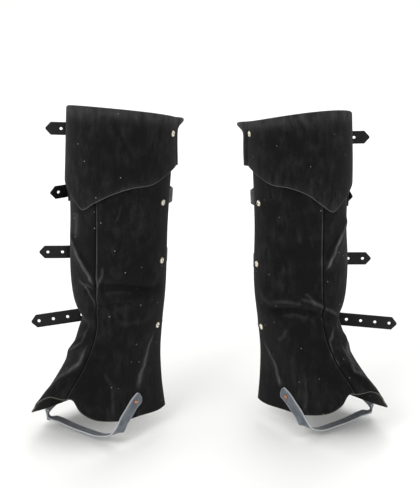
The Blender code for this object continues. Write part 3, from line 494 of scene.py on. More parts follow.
def suede(name, nap_dark, nap_pale, rubbed, raw_edge):
    """Brushed split leather: a dark matt nap that clouds paler where it is stroked the other way,
    rubbed grey along its creases, with pale raw cut edges and flecks of lint. The rubbing mark also
    carries painted light: the same grey as painted highlight along the seam and back edge, and near
    black as painted shade in the crease troughs and the seam's groove."""
    made = Finish(name, Roughness=0.94, IOR=1.36, Sheen_Weight=0.06, Sheen_Roughness=0.5,
                  Sheen_Tint=hex_linear("#cccccd"), Specular_IOR_Level=0.18)
    place = made.place()
    upright = made.add("ShaderNodeMapping", "Vector", {"Vector": place, "Scale": (1.0, 1.0, 0.42)})
    # clouds about 35 mm across, streaks about 9 mm wide and 20 mm long, nap drawn 1.2 mm coarse,
    # flecks of lint about 16 mm apart
    clouds = made.noise(place, 28.0, 3.0, 0.55)
    streaks = made.noise(upright, 110.0, 4.0, 0.62)
    nap = made.noise(place, 820.0, 3.0, 0.7)
    lint = made.cells(place, 62.0)
    rub_and_painted_light = made.mark("rubbed")
    bloom = made.reckon("MULTIPLY", made.ranged(clouds, 0.36, 0.66), made.ranged(streaks, 0.38, 0.66))
    grain = made.ranged(nap, 0.3, 0.7, -0.22, 0.22)
    colour = made.blend(made.reckon("ADD", bloom, grain, clamp=True), nap_dark, nap_pale)
    ragged = made.ranged(streaks, 0.32, 0.6, 0.35, 1.0)
    # above 0 the mark greys the nap: real rubbing on crease ridges, painted highlight along the seam's edge
    # and the back edge
    colour = made.blend(made.reckon("MULTIPLY", rub_and_painted_light, ragged, clamp=True), colour, rubbed)
    # below 0 it darkens the nap to near black: painted shade in crease troughs and the seam's groove
    colour = made.blend(made.reckon("MULTIPLY", rub_and_painted_light, -0.75, clamp=True), colour, "#060607")
    colour = made.blend(made.ranged(lint, 0.040, 0.056, 0.75, 0.0), colour, "#8e8e8c")
    colour = made.blend(made.mark("cut_edge"), colour, raw_edge)
    soft = made.bump(streaks, 0.35, 0.0012)
    return made.feed(Base_Color=colour, Normal=made.bump(nap, 0.55, 0.0006, Normal=soft))


BLACK_SPLIT = suede("black cowhide suede split", "#0c0c0c", "#212122", "#59595b", "#625f5a")


def suede_piece(node, outer, inner, pale, raw):
    """Piece of the suede between two faces, rubbed, painted with highlight and shade, and cut as marked;
    the inner face gets a third of the rubbing and painted light.
    """
    marks = {"rubbed": np.concatenate([pale, pale * 0.3]), "cut_edge": np.concatenate([raw, raw])}
    return new_piece(f"{node}_suede", *wall_of(outer, inner), BLACK_SPLIT, node, "suede", marks)


def cuff_depth(leg, turn):
    """How far the cuff hangs below the rim, at turn degrees from the front."""
    return smooth([c.turn for c in leg.cuff], [c.depth for c in leg.cuff], turn)


def cuff_covers(leg, rise, turn):
    """Share from 0 to 1 by which the cuff hides a place of the panels, fading over 4 mm."""
    return ease((cuff_depth(leg, turn) - (1 - rise) * COVER_HEIGHT) / 0.004)


PANEL_ACROSS = 0.150
PanelCut = namedtuple("PanelCut", "side width length area")
PANEL_CUTS = (
    PanelCut("medial", 0.207, 0.445, 0.0560), PanelCut("lateral", 0.243, 0.450, 0.0697),
)
for leg in LEGS:
    for cut in PANEL_CUTS:
        side = -1 if cut.side == "medial" else 1
        across = spaced(PANEL_ACROSS, 0.0016)[None, :]
        upward = spaced(COVER_HEIGHT, 0.0017)[:, None]
        rise = upward + 0 * across
        for _ in range(3):
            edge = row_at(EDGES, rise)
            seam = -edge.seam + side * math.degrees(GAP / 2 / MEAN_RADIUS)
            back = side * (edge.medial if side < 0 else edge.lateral)
            turn = seam + (back - seam) * across
            hem = smooth([h.turn for h in HEM], [h.lift for h in HEM], turn[0]) / COVER_HEIGHT
            rise = hem + (1 - hem) * upward
        bare = 1 - cuff_covers(leg, rise, turn)
        height, pale = creased(leg, rise, turn)
        height = height + unevenness(leg, rise, turn, 0.022, 0.0007, 60, 20)
        by_buckles = ease((np.abs(turn) - 74) / 12)
        from_seam = across * PANEL_ACROSS
        if side < 0:
            shoulder = (0.0006 * np.exp(-((from_seam - 0.0024) / 0.0016)**2)
                        - 0.0011 * np.exp(-(from_seam / 0.0009)**2))
            strong = 0.25 + 0.75 * np.exp(-((rise - 0.56) / 0.14)**2)
            # painted highlight: a thin pale line along the seam's raised edge, strongest halfway up
            seam_painted_light = 0.62 * strong * np.exp(-((from_seam - 0.0016) / 0.0011)**2)
        else:
            shoulder = (-0.0013 * np.exp(-(from_seam / 0.0013)**2)
                        - 0.0004 * np.exp(-(from_seam / 0.0040)**2))
            # painted shade: a dark line in the seam's groove
            seam_painted_light = -1.2 * np.exp(-(from_seam / 0.0014)**2)
        lifted = bare * (height * (1 - 0.8 * by_buckles) + shoulder)
        hem_gap = upward * COVER_HEIGHT
        top_gap = (1 - upward) * COVER_HEIGHT
        back_gap = (1 - across) * PANEL_ACROSS
        raw = np.maximum(np.exp(-(hem_gap / 0.0006)**2), np.exp(-(back_gap / 0.0008)**2)) * bare
        # the last term is a painted highlight: the nap paler over the last few millimetres before the back
        # edge
        pale = pale * bare + seam_painted_light * bare + 0.25 * np.exp(-back_gap / 0.004) * bare
        thin = 1 - 0.35 * (np.minimum(np.minimum(hem_gap, top_gap), back_gap) < 1e-6)
        half = SUEDE / 2 * thin
        outer = skin(leg, rise, turn, lifted + half)
        inner = skin(leg, rise, turn, lifted - half)
        panel = suede_piece(f"{leg.name}_{cut.side}_panel", outer, inner, pale, raw)


# The cuffs. One piece of the same suede folded over the tops of both panels of a cover and left
# loose below, cut to a point beside the front seam; its inner end runs past the panel and curls.
CUFF_GAP = 0.0006
CUFF_FLARE = 0.004
FLARE_OVER = 0.12
CUFF_RETURN = 0.008
CUFF_RETURN_OVER_STRAP = 0.002
RETURN_FROM = -80
RETURN_OVER = 15
CUFF_PAST = 4.0
CORNER_PAST = 8.0
CORNER_CURL = 0.009
CORNER_DEEP = 0.013
CUFF_ACROSS = 0.270
CUFF_DEPTH = 0.100


def cuff_face(leg, turn, depth, stand, rows, lumps):
    """One face of the cuff, row by row: up the outside, round a half circle over the panels' top
    and down the inside. The inner end is shifted and lifted at its top corner, where it curls."""
    edge = float(row_at(EDGES, np.array(1.0)).medial)
    corner = np.clip((-turn - edge - 1) / (CUFF_PAST - 1), 0, 1)
    full = np.clip((turn - RETURN_FROM) / RETURN_OVER, 0, 1)
    inside = CUFF_RETURN_OVER_STRAP + (CUFF_RETURN - CUFF_RETURN_OVER_STRAP) * full
    made = []
    for share, swing, tucked in rows:
        below = depth * (1 - share) + inside * tucked
        near_top = np.exp(-(below / CORNER_DEEP)**2)
        moved = turn - CORNER_PAST * corner * near_top
        past = np.clip((-moved - edge - 1) / (CUFF_PAST + CORNER_PAST), 0, None)
        outward = stand * math.cos(swing)
        if swing == 0:
            outward = stand + CUFF_FLARE * below / FLARE_OVER + lumps(1 - below / COVER_HEIGHT, moved)
        outward = outward + CORNER_CURL * past**1.5 * near_top + leg.side_curl * corner
        up = unit(skin(leg, 1.0, moved) - skin(leg, 0.98, moved))
        point = skin(leg, 1 - below / COVER_HEIGHT, moved, outward)
        made.append(point + stand * math.sin(swing) * up)
    return np.stack(made)


for leg in LEGS:
    top = row_at(EDGES, np.array(1.0))
    turn = top.lateral - (top.lateral + top.medial + CUFF_PAST) * spaced(CUFF_ACROSS, 0.0017)[::-1]
    depth = cuff_depth(leg, turn)
    climb = spaced(CUFF_DEPTH, 0.0016)[:-1]
    rows = [(share, 0.0, 0.0) for share in climb]
    rows += [(1.0, swing, 0.0) for swing in np.linspace(0.06, math.pi, 12)]
    rows += [(1.0, math.pi, share) for share in (0.2, 0.4, 0.6, 0.8, 1.0)]
    near = SUEDE / 2 + CUFF_GAP

    def lumps(rise, turn, leg=leg):
        """Shallow waves of the loose suede, hardly inwards at all and none at the fold."""
        loose = ease((1 - rise) * COVER_HEIGHT / 0.03)
        return loose * unevenness(leg, rise, turn, 0.020, 0.0007, 60, 50).clip(-0.0003, 0.0014)

    outer = cuff_face(leg, turn, depth, near + SUEDE, rows, lumps)
    inner = cuff_face(leg, turn, depth, near, rows, lumps)
    middle = (outer + inner) / 2
    border = np.zeros(outer.shape[:2], bool)
    border[0], border[-1], border[:, 0], border[:, -1] = True, True, True, True
    squeeze = np.where(border, 0.65, 1.0)[..., None]
    outer, inner = middle + (outer - middle) * squeeze, middle + (inner - middle) * squeeze
    share = np.array([row[0] for row in rows])[:, None]
    swing = np.array([row[1] for row in rows])[:, None]
    from_hem = share * depth[None, :]
    from_side = (np.minimum(turn - turn[0], turn[-1] - turn) * math.pi / 180 * MEAN_RADIUS)[None, :]
    raw = np.maximum(np.exp(-(from_hem / 0.0007)**2), 0.7 * np.exp(-(from_side / 0.0007)**2) + 0 * share)
    near_fold = np.exp(-((1 - share) * depth[None, :] / 0.010)**2) * (swing < 1.6)
    pale = 0.16 * np.exp(-from_hem / 0.006) + 0.30 * near_fold + 0.22 * np.exp(-from_side / 0.006)
    cuff = suede_piece(f"{leg.name}_cuff", outer, inner, pale, raw)


# The straps. Each is an 18 mm wide, 2.5 mm thick strip of black finished cowhide, cut to a blunt
# point and punched, riveted inside the inner panel, passed round the open back and through its
# buckle; its stiff end springs out beside the leg.
STRAP = 0.0025
CHAPE = 0.0018
STRAP_WIDTH = 0.018
TIP_LENGTH = 0.007
TIP_BLUNT = 0.0012
HOLE_RADIUS = 0.0021
HOLE_SPACING = 0.0200
ROOT_PAST_RIVET = 0.011
TAIL_BEND = 0.030
TAIL_START = 0.004
LONGEST_TAIL = 0.14
TAIL_SAMPLES = 281
BAR_RADIUS = 0.0015
HEEL_BAR_LIFT = 0.0039
OUTER_BAR_LIFT = 0.0026
FRAME_LENGTH = 0.020
FRAME_INSIDE = 0.020
BAR_CLEAR = 0.002
LEAD_IN = 0.012
PRONG_CROSSING = 0.0065
EDGE_PAST = 6
WRAP_BULGE = (0.0, 0.0045, 0.0015, 0.0)
WRAP_MIDDLE = 13
WRAP_REACH = 9
CHAPE_FLAT = 0.005


def rise_at_height(leg, turn, z):
    """Share of the height at which the cover passes height z over the soles, by correction."""
    rise = np.full(np.broadcast(turn, z).shape, 0.5)
    for _ in range(12):
        rise = rise + (z + SOLE_LEVEL - plain(leg, rise, turn)[..., 2]) / COVER_HEIGHT
    return rise


def cuff_stands(leg, turn, rise):
    """Lift of the outermost face, the cuff's where it covers the panel, over the middle surface."""
    below = (1 - rise) * COVER_HEIGHT
    over_cuff = SUEDE * 1.5 + CUFF_GAP + CUFF_FLARE * below / FLARE_OVER
    return np.where(below < cuff_depth(leg, turn), over_cuff, SUEDE / 2)


def over_cover(leg, rise, turn, lift=0.0):
    """Point over whatever lies outermost there, the cuff or the panel."""
    return skin(leg, rise, turn, lift + cuff_stands(leg, turn, rise))


class Seat:
    """Flat frame where a buckle lies: x forward along the leg, b up, n outwards."""

    def __init__(self, leg, turn, z):
        self.leg, self.turn = leg, float(turn)
        self.rise = float(rise_at_height(leg, np.array(self.turn), np.array(z)))
        self.point = over_cover(leg, self.rise, self.turn)
        reach = STRAP_WIDTH / 2 / COVER_HEIGHT
        up = over_cover(leg, self.rise + reach, turn) - over_cover(leg, self.rise - reach, turn)
        ahead = over_cover(leg, self.rise, turn - 2.0) - over_cover(leg, self.rise, turn + 2.0)
        self.n = unit(np.cross(up, ahead)) * leg.out
        ahead[2] = 0
        self.x = unit(ahead - (ahead @ self.n) * self.n)
        self.b = np.cross(self.x, self.n) * leg.out

    def at(self, x, b, n):
        """Point x forward, b up and n out from the middle of the heel bar's seat."""
        x, b, n = np.broadcast_arrays(x * 1.0, b * 1.0, n * 1.0)
        return self.point + x[..., None] * self.x + b[..., None] * self.b + n[..., None] * self.n

    def on_cover(self, x, b, n):
        """Point x and b along the cover itself, lifted n off its outer face; flat near the bar."""
        x, b, n = np.broadcast_arrays(x * 1.0, b * 1.0, n * 1.0)
        turn, rise = np.full(x.shape, self.turn), np.full(x.shape, self.rise)
        for _ in range(6):
            off = skin(self.leg, rise, turn) - self.point
            turn = turn + np.degrees(((off @ self.x) - x) / MEAN_RADIUS)
            rise = rise - ((off @ self.b) - b) / COVER_HEIGHT
        share = ease((x - CHAPE_FLAT) / CHAPE_FLAT)[..., None]
        return (1 - share) * self.at(x, b, n) + share * over_cover(self.leg, rise, turn, n)


def strap_lift(x):
    """Height of the strap's middle over the seat: low under the outer bar, eased up over the
    folded chape on the heel bar."""
    low = OUTER_BAR_LIFT - BAR_RADIUS - GAP - STRAP / 2
    high = HEEL_BAR_LIFT + BAR_RADIUS + GAP + CHAPE + GAP + STRAP / 2
    return low + (high - low) * ease((x + FRAME_LENGTH) / (FRAME_LENGTH - BAR_CLEAR))


def tail_at(seat, strap, distance):
    """Middle of the tail past the buckle: its slope eases up to the swing, then stays."""
    fine = np.linspace(0, LONGEST_TAIL, TAIL_SAMPLES)
    angle = math.radians(strap.swing) * ease((fine - TAIL_START) / TAIL_BEND)
    step = fine[1] - fine[0]
    x = summed(np.cos(angle[:-1]) * step)
    n = summed(np.sin(angle[:-1]) * step)
    return seat.at(np.interp(distance, fine, x), 0.0, float(strap_lift(0.0)) + np.interp(distance, fine, n))


def strap_route(leg, strap, seat, bulge):
    """Distances, middle line and width direction of a strap, from its riveted root to its point,
    taken at even half millimetres and smoothed."""
    inside = -(SUEDE / 2 + GAP + STRAP / 2)
    edge = -float(row_at(EDGES, np.array(seat.rise)).medial)
    root = edge + math.degrees((strap.rivet_in + ROOT_PAST_RIVET) / MEAN_RADIUS)
    last = strap.turn - 360 + math.degrees((FRAME_LENGTH + LEAD_IN) / MEAN_RADIUS)
    turns = np.concatenate([np.linspace(root, edge - EDGE_PAST, 9),
                            np.linspace(edge - EDGE_PAST, last, 60)[1:]])
    share = (root - turns) / (root - last)
    z = strap.rivet_z + (strap.buckle_z - strap.rivet_z) * share
    rise = rise_at_height(leg, turns, z)
    outside = float(cuff_stands(leg, seat.turn, seat.rise)) + GAP + STRAP / 2 + 0.001
    lift = inside + (outside - inside) * ease((edge - EDGE_PAST - turns)
                                              / (edge - EDGE_PAST - last - 12))
    lift = lift + bulge * np.exp(-((turns - edge + WRAP_MIDDLE) / WRAP_REACH)**2)
    tail = strap.first_hole + strap.free_holes * HOLE_SPACING - PRONG_CROSSING
    x = -FRAME_LENGTH + np.linspace(0, FRAME_LENGTH - BAR_CLEAR, 12)
    run = np.linspace(TAIL_START, tail, 40)
    path = np.concatenate([skin(leg, rise, turns, lift), seat.at(x, 0.0, strap_lift(x)),
                           tail_at(seat, strap, run)])
    out = np.concatenate([facing(folded, leg, rise, turns), np.repeat(seat.n[None], len(x) + len(run), 0)])
    passed = summed(np.linalg.norm(np.diff(path, axis=0), axis=1))
    even = np.arange(0, passed[-1], 0.0005)
    even = even * passed[-1] / even[-1]
    path, out = taken_at(even, passed, path), taken_at(even, passed, out)
    bell = np.exp(-(np.arange(-8, 9) / 4.0)**2)
    for line in (path, out):
        ends = np.concatenate([2 * line[0] - line[8:0:-1], line, 2 * line[-1] - line[-2:-10:-1]])
        line[:] = np.stack([np.convolve(ends[:, k], bell / bell.sum(), "valid") for k in range(3)], -1)
    return even, path, squared(path, out)[0]


def taken_at(places, knots, rows):
    """The rows of x, y and z between their knots, at the places."""
    return np.stack([np.interp(places, knots, rows[:, k]) for k in range(3)], -1)


def squared(path, out):
    """Width directions and outward normals along a line, the normals put square to it."""
    along = unit(np.gradient(path, axis=0))
    out = unit(out - (out * along).sum(-1, keepdims=True) * along)
    return np.cross(along, out), out


def punched_strip(length, half_width, tip, blunt, holes, radius, step):
    """Flat strip as triangles: an outline with a point at its far end, a grid inside it, and round
    holes on its middle line left open."""
    ring = np.linspace(0, 2 * math.pi, 20, endpoint=False)
    side = np.linspace(0, length - tip, int((length - tip) / step))
    outline = np.concatenate([
        np.stack([side, 0 * side - half_width], -1), [[length, -blunt], [length, blunt]],
        np.stack([side[::-1], 0 * side + half_width], -1),
        np.stack([np.zeros(3), np.linspace(half_width, -half_width, 5)[1:-1]], -1)])
    rims = [np.stack([h + radius * np.cos(ring), radius * np.sin(ring)], -1) for h in holes]
    grid_s, grid_w = np.meshgrid(side[1:-1], np.linspace(-half_width, half_width, 9)[1:-1], indexing="ij")
    inner = np.stack([grid_s.ravel(), grid_w.ravel()], -1)
    for h in holes:
        inner = inner[np.hypot(inner[:, 0] - h, inner[:, 1]) > radius + 0.0007]
    points = np.concatenate([outline, *rims, inner])
    edges, start = [], 0
    for loop in (outline, *rims):
        n = len(loop)
        edges += [(start + k, start + (k + 1) % n) for k in range(n)]
        start += n
    found = delaunay_2d_cdt([Vector(p) for p in points], edges, [], 0, 1e-7)
    flat, faces = np.array([tuple(v) for v in found[0]]), np.array(found[2])
    middle = flat[faces].mean(1)
    width_there = half_width - (half_width - blunt) * np.clip((middle[:, 0] - length + tip) / tip, 0, 1)
    keep = np.abs(middle[:, 1]) < width_there
    for h in holes:
        keep &= np.hypot(middle[:, 0] - h, middle[:, 1]) > radius * 0.98
    return flat, faces[keep]


def thicken(piece, thickness, bevel, segments=3):
    """Gives a flat strip its thickness about its middle and rounds all its edges over."""
    solid = piece.modifiers.new("thickness", "SOLIDIFY")
    solid.thickness, solid.offset, solid.use_even_offset = thickness, 0.0, True
    round_over = piece.modifiers.new("rounded edges", "BEVEL")
    round_over.width, round_over.segments = bevel, segments
    round_over.limit_method, round_over.angle_limit = "ANGLE", math.radians(50)


def strap_leather(name, face, pores, gloss, grain_scale):
    """Finished cowhide: pigment coat over fine pores and shallow creases, glossier where it is
    handled."""
    made = Finish(name, IOR=1.5, Specular_IOR_Level=0.22, Coat_Weight=0.07, Coat_Roughness=0.25)
    place = made.place()
    creases = made.noise(place, grain_scale * 0.28, 5.0, 0.65)
    worn = made.noise(place, 55.0, 2.0)
    pebble = made.bump(made.cells(place, grain_scale, "DISTANCE_TO_EDGE"), 0.30, 0.0004)
    return made.feed(Base_Color=made.blend(made.ranged(creases, 0.35, 0.7), pores, face),
                     Roughness=made.ranged(worn, 0.3, 0.7, gloss, gloss + 0.2),
                     Normal=made.bump(creases, 0.35, 0.0005, Normal=pebble))


# pores about 1.1 mm apart, drawn coarse so that they show
STRAP_LEATHER = strap_leather("black finished strap leather", "#111113", "#080809", 0.34, 900.0)

SEATS = {(leg.name, k): Seat(leg, strap.turn, strap.buckle_z)
         for leg in LEGS for k, strap in enumerate(leg.straps, start=1)}
for leg in LEGS:
    for number, strap in enumerate(leg.straps, start=1):
        seat = SEATS[leg.name, number]
        even, path, across = strap_route(leg, strap, seat, WRAP_BULGE[number - 1])
        length = even[-1]
        holes = [length - strap.first_hole - k * HOLE_SPACING for k in range(strap.free_holes + 2)]
        flat, faces = punched_strip(length, STRAP_WIDTH / 2, TIP_LENGTH, TIP_BLUNT, holes,
                                    HOLE_RADIUS, 0.0025)
        along_it = taken_at(flat[:, 0], even, path)
        sideways = taken_at(flat[:, 0], even, across)
        node = f"{leg.name}_strap_{number}"
        belt = new_piece(f"{node}_leather", along_it + flat[:, 1:] * sideways, faces, STRAP_LEATHER,
                         node, "strap_leather")
        thicken(belt, STRAP - 0.0001, 0.0005)


# The buckles. Each hangs in a chape, a tab of thinner leather folded round its heel bar and
# riveted to the outer panel, slotted for the prong; frame and prong are bent steel wire, nickel
# plated.
FRAME_CORNER = 0.002
PRONG_RADIUS = 0.0009
CHAPE_LENGTH = 0.034
CHAPE_MEETS = 0.012
CHAPE_RIVET_AHEAD = 0.022
SLOT_LENGTH = 0.0100
SLOT_WIDTH = 0.0044
SLANT = np.array([0.31, 0.22, 0.93])


def spokes(axis, aside, sides):
    """Unit vectors all round an axis, the first of them aside."""
    angle = (np.arange(sides) * 2 * math.pi / sides)[:, None]
    return np.cos(angle) * aside[..., None, :] + np.sin(angle) * np.cross(axis, aside)[..., None, :]


def hoops(before, ahead):
    """Quads between each ring of point numbers and the ring ahead of it."""
    return np.stack([before, np.roll(before, -1, 1), np.roll(ahead, -1, 1), ahead], -1).reshape(-1, 4)


def tube_along(middle, radius, sides, closed=False):
    """Round bar along the middle points, each ring square to the line; the radius may vary."""
    if closed:
        along = unit(np.roll(middle, -1, 0) - np.roll(middle, 1, 0))
        spoke = middle - middle.mean(0)
        aside = unit(spoke - (spoke * along).sum(-1, keepdims=True) * along)
    else:
        along = unit(np.gradient(middle, axis=0))
        aside = unit(np.cross(along, SLANT))
    reach = np.broadcast_to(radius, len(middle))[:, None, None]
    ring = middle[:, None] + reach * spokes(along, aside, sides)
    index = np.arange(len(middle) * sides).reshape(-1, sides)
    faces = hoops(index, np.roll(index, -1, 0)) if closed else hoops(index[:-1], index[1:])
    return ring.reshape(-1, 3), faces


def rounded_ends(middle, radius, steps=5):
    """Points and radii of an open bar whose ends are half balls, drawn in almost to a point."""
    angle = np.linspace(0.04, math.pi / 2, steps)
    first, last = unit(middle[0] - middle[1]), unit(middle[-1] - middle[-2])
    head = middle[0] + first * radius * np.cos(angle)[:, None]
    foot = middle[-1] + last * radius * np.cos(angle[::-1])[:, None]
    radii = np.concatenate([radius * np.sin(angle), np.full(len(middle) - 2, radius),
                            radius * np.sin(angle[::-1])])
    return np.concatenate([head, middle[1:-1], foot]), radii


def plated(name, tint, haze, gloss, scratch):
    """Bright plate over steel: mirror-like, hazed by fine rubbing marks and a duller bloom."""
    made = Finish(name, Metallic=1.0)
    place = made.place()
    bloom = made.noise(place, 420.0, 4.0)
    return made.feed(Base_Color=made.blend(bloom, tint, haze),
                     Roughness=made.ranged(bloom, 0.3, 0.7, gloss, gloss + 0.16),
                     Normal=made.bump(made.noise(place, 2600.0, 2.0), scratch, 0.0001))


NICKEL = plated("nickel plated steel wire", "#d8d4ca", "#a9a49a", 0.16, 0.2)


def frame_line(corner_steps):
    """Rounded rectangle of the buckle's wire in the seat's x and b, corners as quarter circles."""
    half = FRAME_INSIDE / 2 + BAR_RADIUS
    x, b = [], []
    for cx, cb, start in ((-FRAME_LENGTH + FRAME_CORNER, half - FRAME_CORNER, 90),
                          (-FRAME_LENGTH + FRAME_CORNER, -half + FRAME_CORNER, 180),
                          (-FRAME_CORNER, -half + FRAME_CORNER, 270),
                          (-FRAME_CORNER, half - FRAME_CORNER, 0)):
        angle = np.radians(start + np.linspace(0, 90, corner_steps))
        x.append(cx + FRAME_CORNER * np.cos(angle))
        b.append(cb + FRAME_CORNER * np.sin(angle))
    return np.concatenate(x), np.concatenate(b)


def prong_line(seat):
    """Middle of the prong: hooked round the heel bar, then straight to the top of the outer bar,
    its corners rounded by resampling."""
    reach = BAR_RADIUS + GAP + PRONG_RADIUS
    hook = np.radians(np.linspace(-70, 80, 14))
    x = np.concatenate([reach * np.cos(hook), [-FRAME_LENGTH * 0.55, -FRAME_LENGTH - 0.001]])
    n = np.concatenate([HEEL_BAR_LIFT + reach * np.sin(hook),
                        [(HEEL_BAR_LIFT + OUTER_BAR_LIFT) / 2 + reach + 0.0002, OUTER_BAR_LIFT + reach]])
    passed = summed(np.hypot(np.diff(x), np.diff(n)))
    even = np.linspace(0, passed[-1], 48)
    return seat.at(np.interp(even, passed, x), 0.0, np.interp(even, passed, n))


def chape_sheet(seat):
    """Middle sheet of the chape on a grid: forward under the bar, round it and back on top, with
    the cells of the prong's slot left out; ends rounded at the corners."""
    fold = BAR_RADIUS + GAP + CHAPE / 2
    low = 2 * GAP + CHAPE / 2
    high = low + CHAPE + GAP
    swing = np.radians(np.linspace(265, 90, 15))
    x = np.concatenate([[CHAPE_LENGTH, CHAPE_RIVET_AHEAD, CHAPE_MEETS, 0.004], fold * np.cos(swing),
                        [0.005, CHAPE_MEETS, CHAPE_RIVET_AHEAD, CHAPE_LENGTH]])
    n = np.concatenate([[low, low, low, low], HEEL_BAR_LIFT + fold * np.sin(swing),
                        [HEEL_BAR_LIFT + 0.55 * fold, high, high, high]])
    n = np.maximum(n, low)
    passed = summed(np.hypot(np.diff(x), np.diff(n)))
    even = np.linspace(0, passed[-1], 96)
    x, n = np.interp(even, passed, x), np.interp(even, passed, n)
    slot = SLOT_WIDTH / 2
    b = np.array([-9, -8.2, -6.5, -4.3, -slot * 1000, 0, slot * 1000, 4.3, 6.5, 8.2, 9]) / 1000
    rounding = np.clip((x - CHAPE_LENGTH + 0.003) / 0.003, 0, 1)[:, None]
    b = b[None, :] * (1 - 0.28 * rounding**3)
    points = seat.on_cover(x[:, None], b, n[:, None])
    index = np.arange(points.shape[0] * points.shape[1]).reshape(points.shape[:2])
    faces = cells_of(index)
    in_slot = np.abs((x[1:] + x[:-1]) / 2) < SLOT_LENGTH / 2
    keep = np.ones(faces.shape[:2], bool)
    keep[np.ix_(in_slot, [4, 5])] = False
    return points.reshape(-1, 3), faces[keep]


for (side, number), seat in SEATS.items():
    x, b = frame_line(7)
    tilt = (HEEL_BAR_LIFT - OUTER_BAR_LIFT) / FRAME_LENGTH
    points, faces = tube_along(seat.at(x, b, HEEL_BAR_LIFT + tilt * x), BAR_RADIUS, 14, closed=True)
    node = f"{side}_buckle_{number}_frame"
    new_piece(f"{node}_wire", points, faces, NICKEL, node, "nickel")
    line, radii = rounded_ends(prong_line(seat), PRONG_RADIUS)
    points, faces = tube_along(line, radii, 12)
    node = f"{side}_buckle_{number}_prong"
    new_piece(f"{node}_wire", points, faces, NICKEL, node, "nickel")
    points, faces = chape_sheet(seat)
    node = f"{side}_chape_{number}"
    tab = new_piece(f"{node}_leather", points, faces, STRAP_LEATHER, node, "strap_leather")
    thicken(tab, CHAPE - 0.0001, 0.0003, 2)


# The rivets. Round-capped tubular rivets, nickel over brass: a bright domed cap with a shallow
# dimple sits in a browned rim, driven through the suede and the strap's root; smaller ones hold
# the chapes.
RIVET_RADIUS = 0.0045
RIVET_HEIGHT = 0.0016
SMALL_RIVET_RADIUS = 0.0032
SMALL_RIVET_HEIGHT = 0.0010
NEAR_EDGE = -95.0
RIVET_PROFILE = (
    (0.00, 0.00), (0.96, 0.00), (1.00, 0.06), (1.00, 0.32), (0.98, 0.44), (0.94, 0.50), (0.89, 0.50),
    (0.85, 0.46), (0.83, 0.52), (0.80, 0.78), (0.74, 0.93), (0.62, 1.00), (0.48, 0.99), (0.36, 0.91),
    (0.25, 0.78), (0.15, 0.68), (0.00, 0.64),
)


def rivet(node, finish, slot, centre, axis, radius, height, sides=32):
    """Rivet for a node: the profile swept round its axis, both its ends drawn in almost to it."""
    axis = unit(axis)
    share, up = np.array(RIVET_PROFILE).T
    share = np.maximum(share, 0.004)
    spoke = spokes(axis, unit(np.cross(axis, SLANT)), sides)
    ring = centre + radius * share[:, None, None] * spoke + height * up[:, None, None] * axis
    index = np.arange(len(share) * sides).reshape(-1, sides)
    new_piece(f"{node}_cap", ring.reshape(-1, 3), hoops(index[:-1], index[1:]), finish, node, slot,
              {"from_middle": np.repeat(share, sides)}, 35)


def rivet_metal(name, cap, rim):
    """Plated cap in a rim worn to brown brass; the mark says how far from the middle a point is."""
    made = Finish(name, Metallic=1.0)
    patch = made.reckon("MULTIPLY_ADD", made.noise(made.place(), 700.0, 3.0), 0.16, -0.08)
    on_rim = made.ranged(made.reckon("ADD", made.mark("from_middle"), patch), 0.76, 0.90)
    return made.feed(Base_Color=made.blend(on_rim, cap, rim),
                     Roughness=made.ranged(on_rim, 0.0, 1.0, 0.24, 0.46))


CAPPED = rivet_metal("nickel capped brass rivet", "#f2eee4", "#8f7c60")
for leg in LEGS:
    for number, strap in enumerate(leg.straps, start=1):
        rise = rise_at_height(leg, np.array(NEAR_EDGE), np.array(strap.rivet_z))
        edge = float(row_at(EDGES, rise).medial)
        turn = -edge + math.degrees(strap.rivet_in / MEAN_RADIUS)
        rise = float(rise_at_height(leg, np.array(turn), np.array(strap.rivet_z)))
        centre = skin(leg, rise, turn, float(cuff_stands(leg, turn, rise)) - 0.0003)
        axis = facing(folded, leg, np.array(rise), np.array(turn))
        rivet(f"{leg.name}_rivet_{number}", CAPPED, "nickel", centre, axis, RIVET_RADIUS,
              RIVET_HEIGHT + 0.0005, 40)
        seat = SEATS[leg.name, number]
        under = seat.on_cover(np.array(CHAPE_RIVET_AHEAD), np.array(0.0), np.array(CHAPE * 2 + GAP * 2))
        above = seat.on_cover(np.array(CHAPE_RIVET_AHEAD), np.array(0.0), np.array(CHAPE * 2 + 0.004))
        rivet(f"{leg.name}_chape_rivet_{number}", CAPPED, "nickel", under, above - under,
              SMALL_RIVET_RADIUS, SMALL_RIVET_HEIGHT + 0.0009)


# The stirrups. A 17 mm strap of slate grey split, its cut edges paler, passes under the arch of
# the foot; a small copper rivet holds each end outside the panels, just above the hem.
STIRRUP = 0.0020
STIRRUP_WIDTH = 0.017
STIRRUP_STEPS = 21
StirrupEnd = namedtuple("StirrupEnd", "turn rise")
STIRRUP_ENDS = (
    StirrupEnd(91.0, 0.068), StirrupEnd(89.0, 0.046), StirrupEnd(87.0, 0.023),
    StirrupEnd(84.5, 0.000), StirrupEnd(83.0, -0.024),
)
StirrupPoint = namedtuple("StirrupPoint", "u l z")
FOOT_CENTRE = StirrupPoint(0.060, 0.0, 0.060)
UNDER_FOOT = (
    StirrupPoint(0.066, -0.034, 0.0105), StirrupPoint(0.067, 0.0, 0.0085),
    StirrupPoint(0.066, 0.042, 0.0105),
)


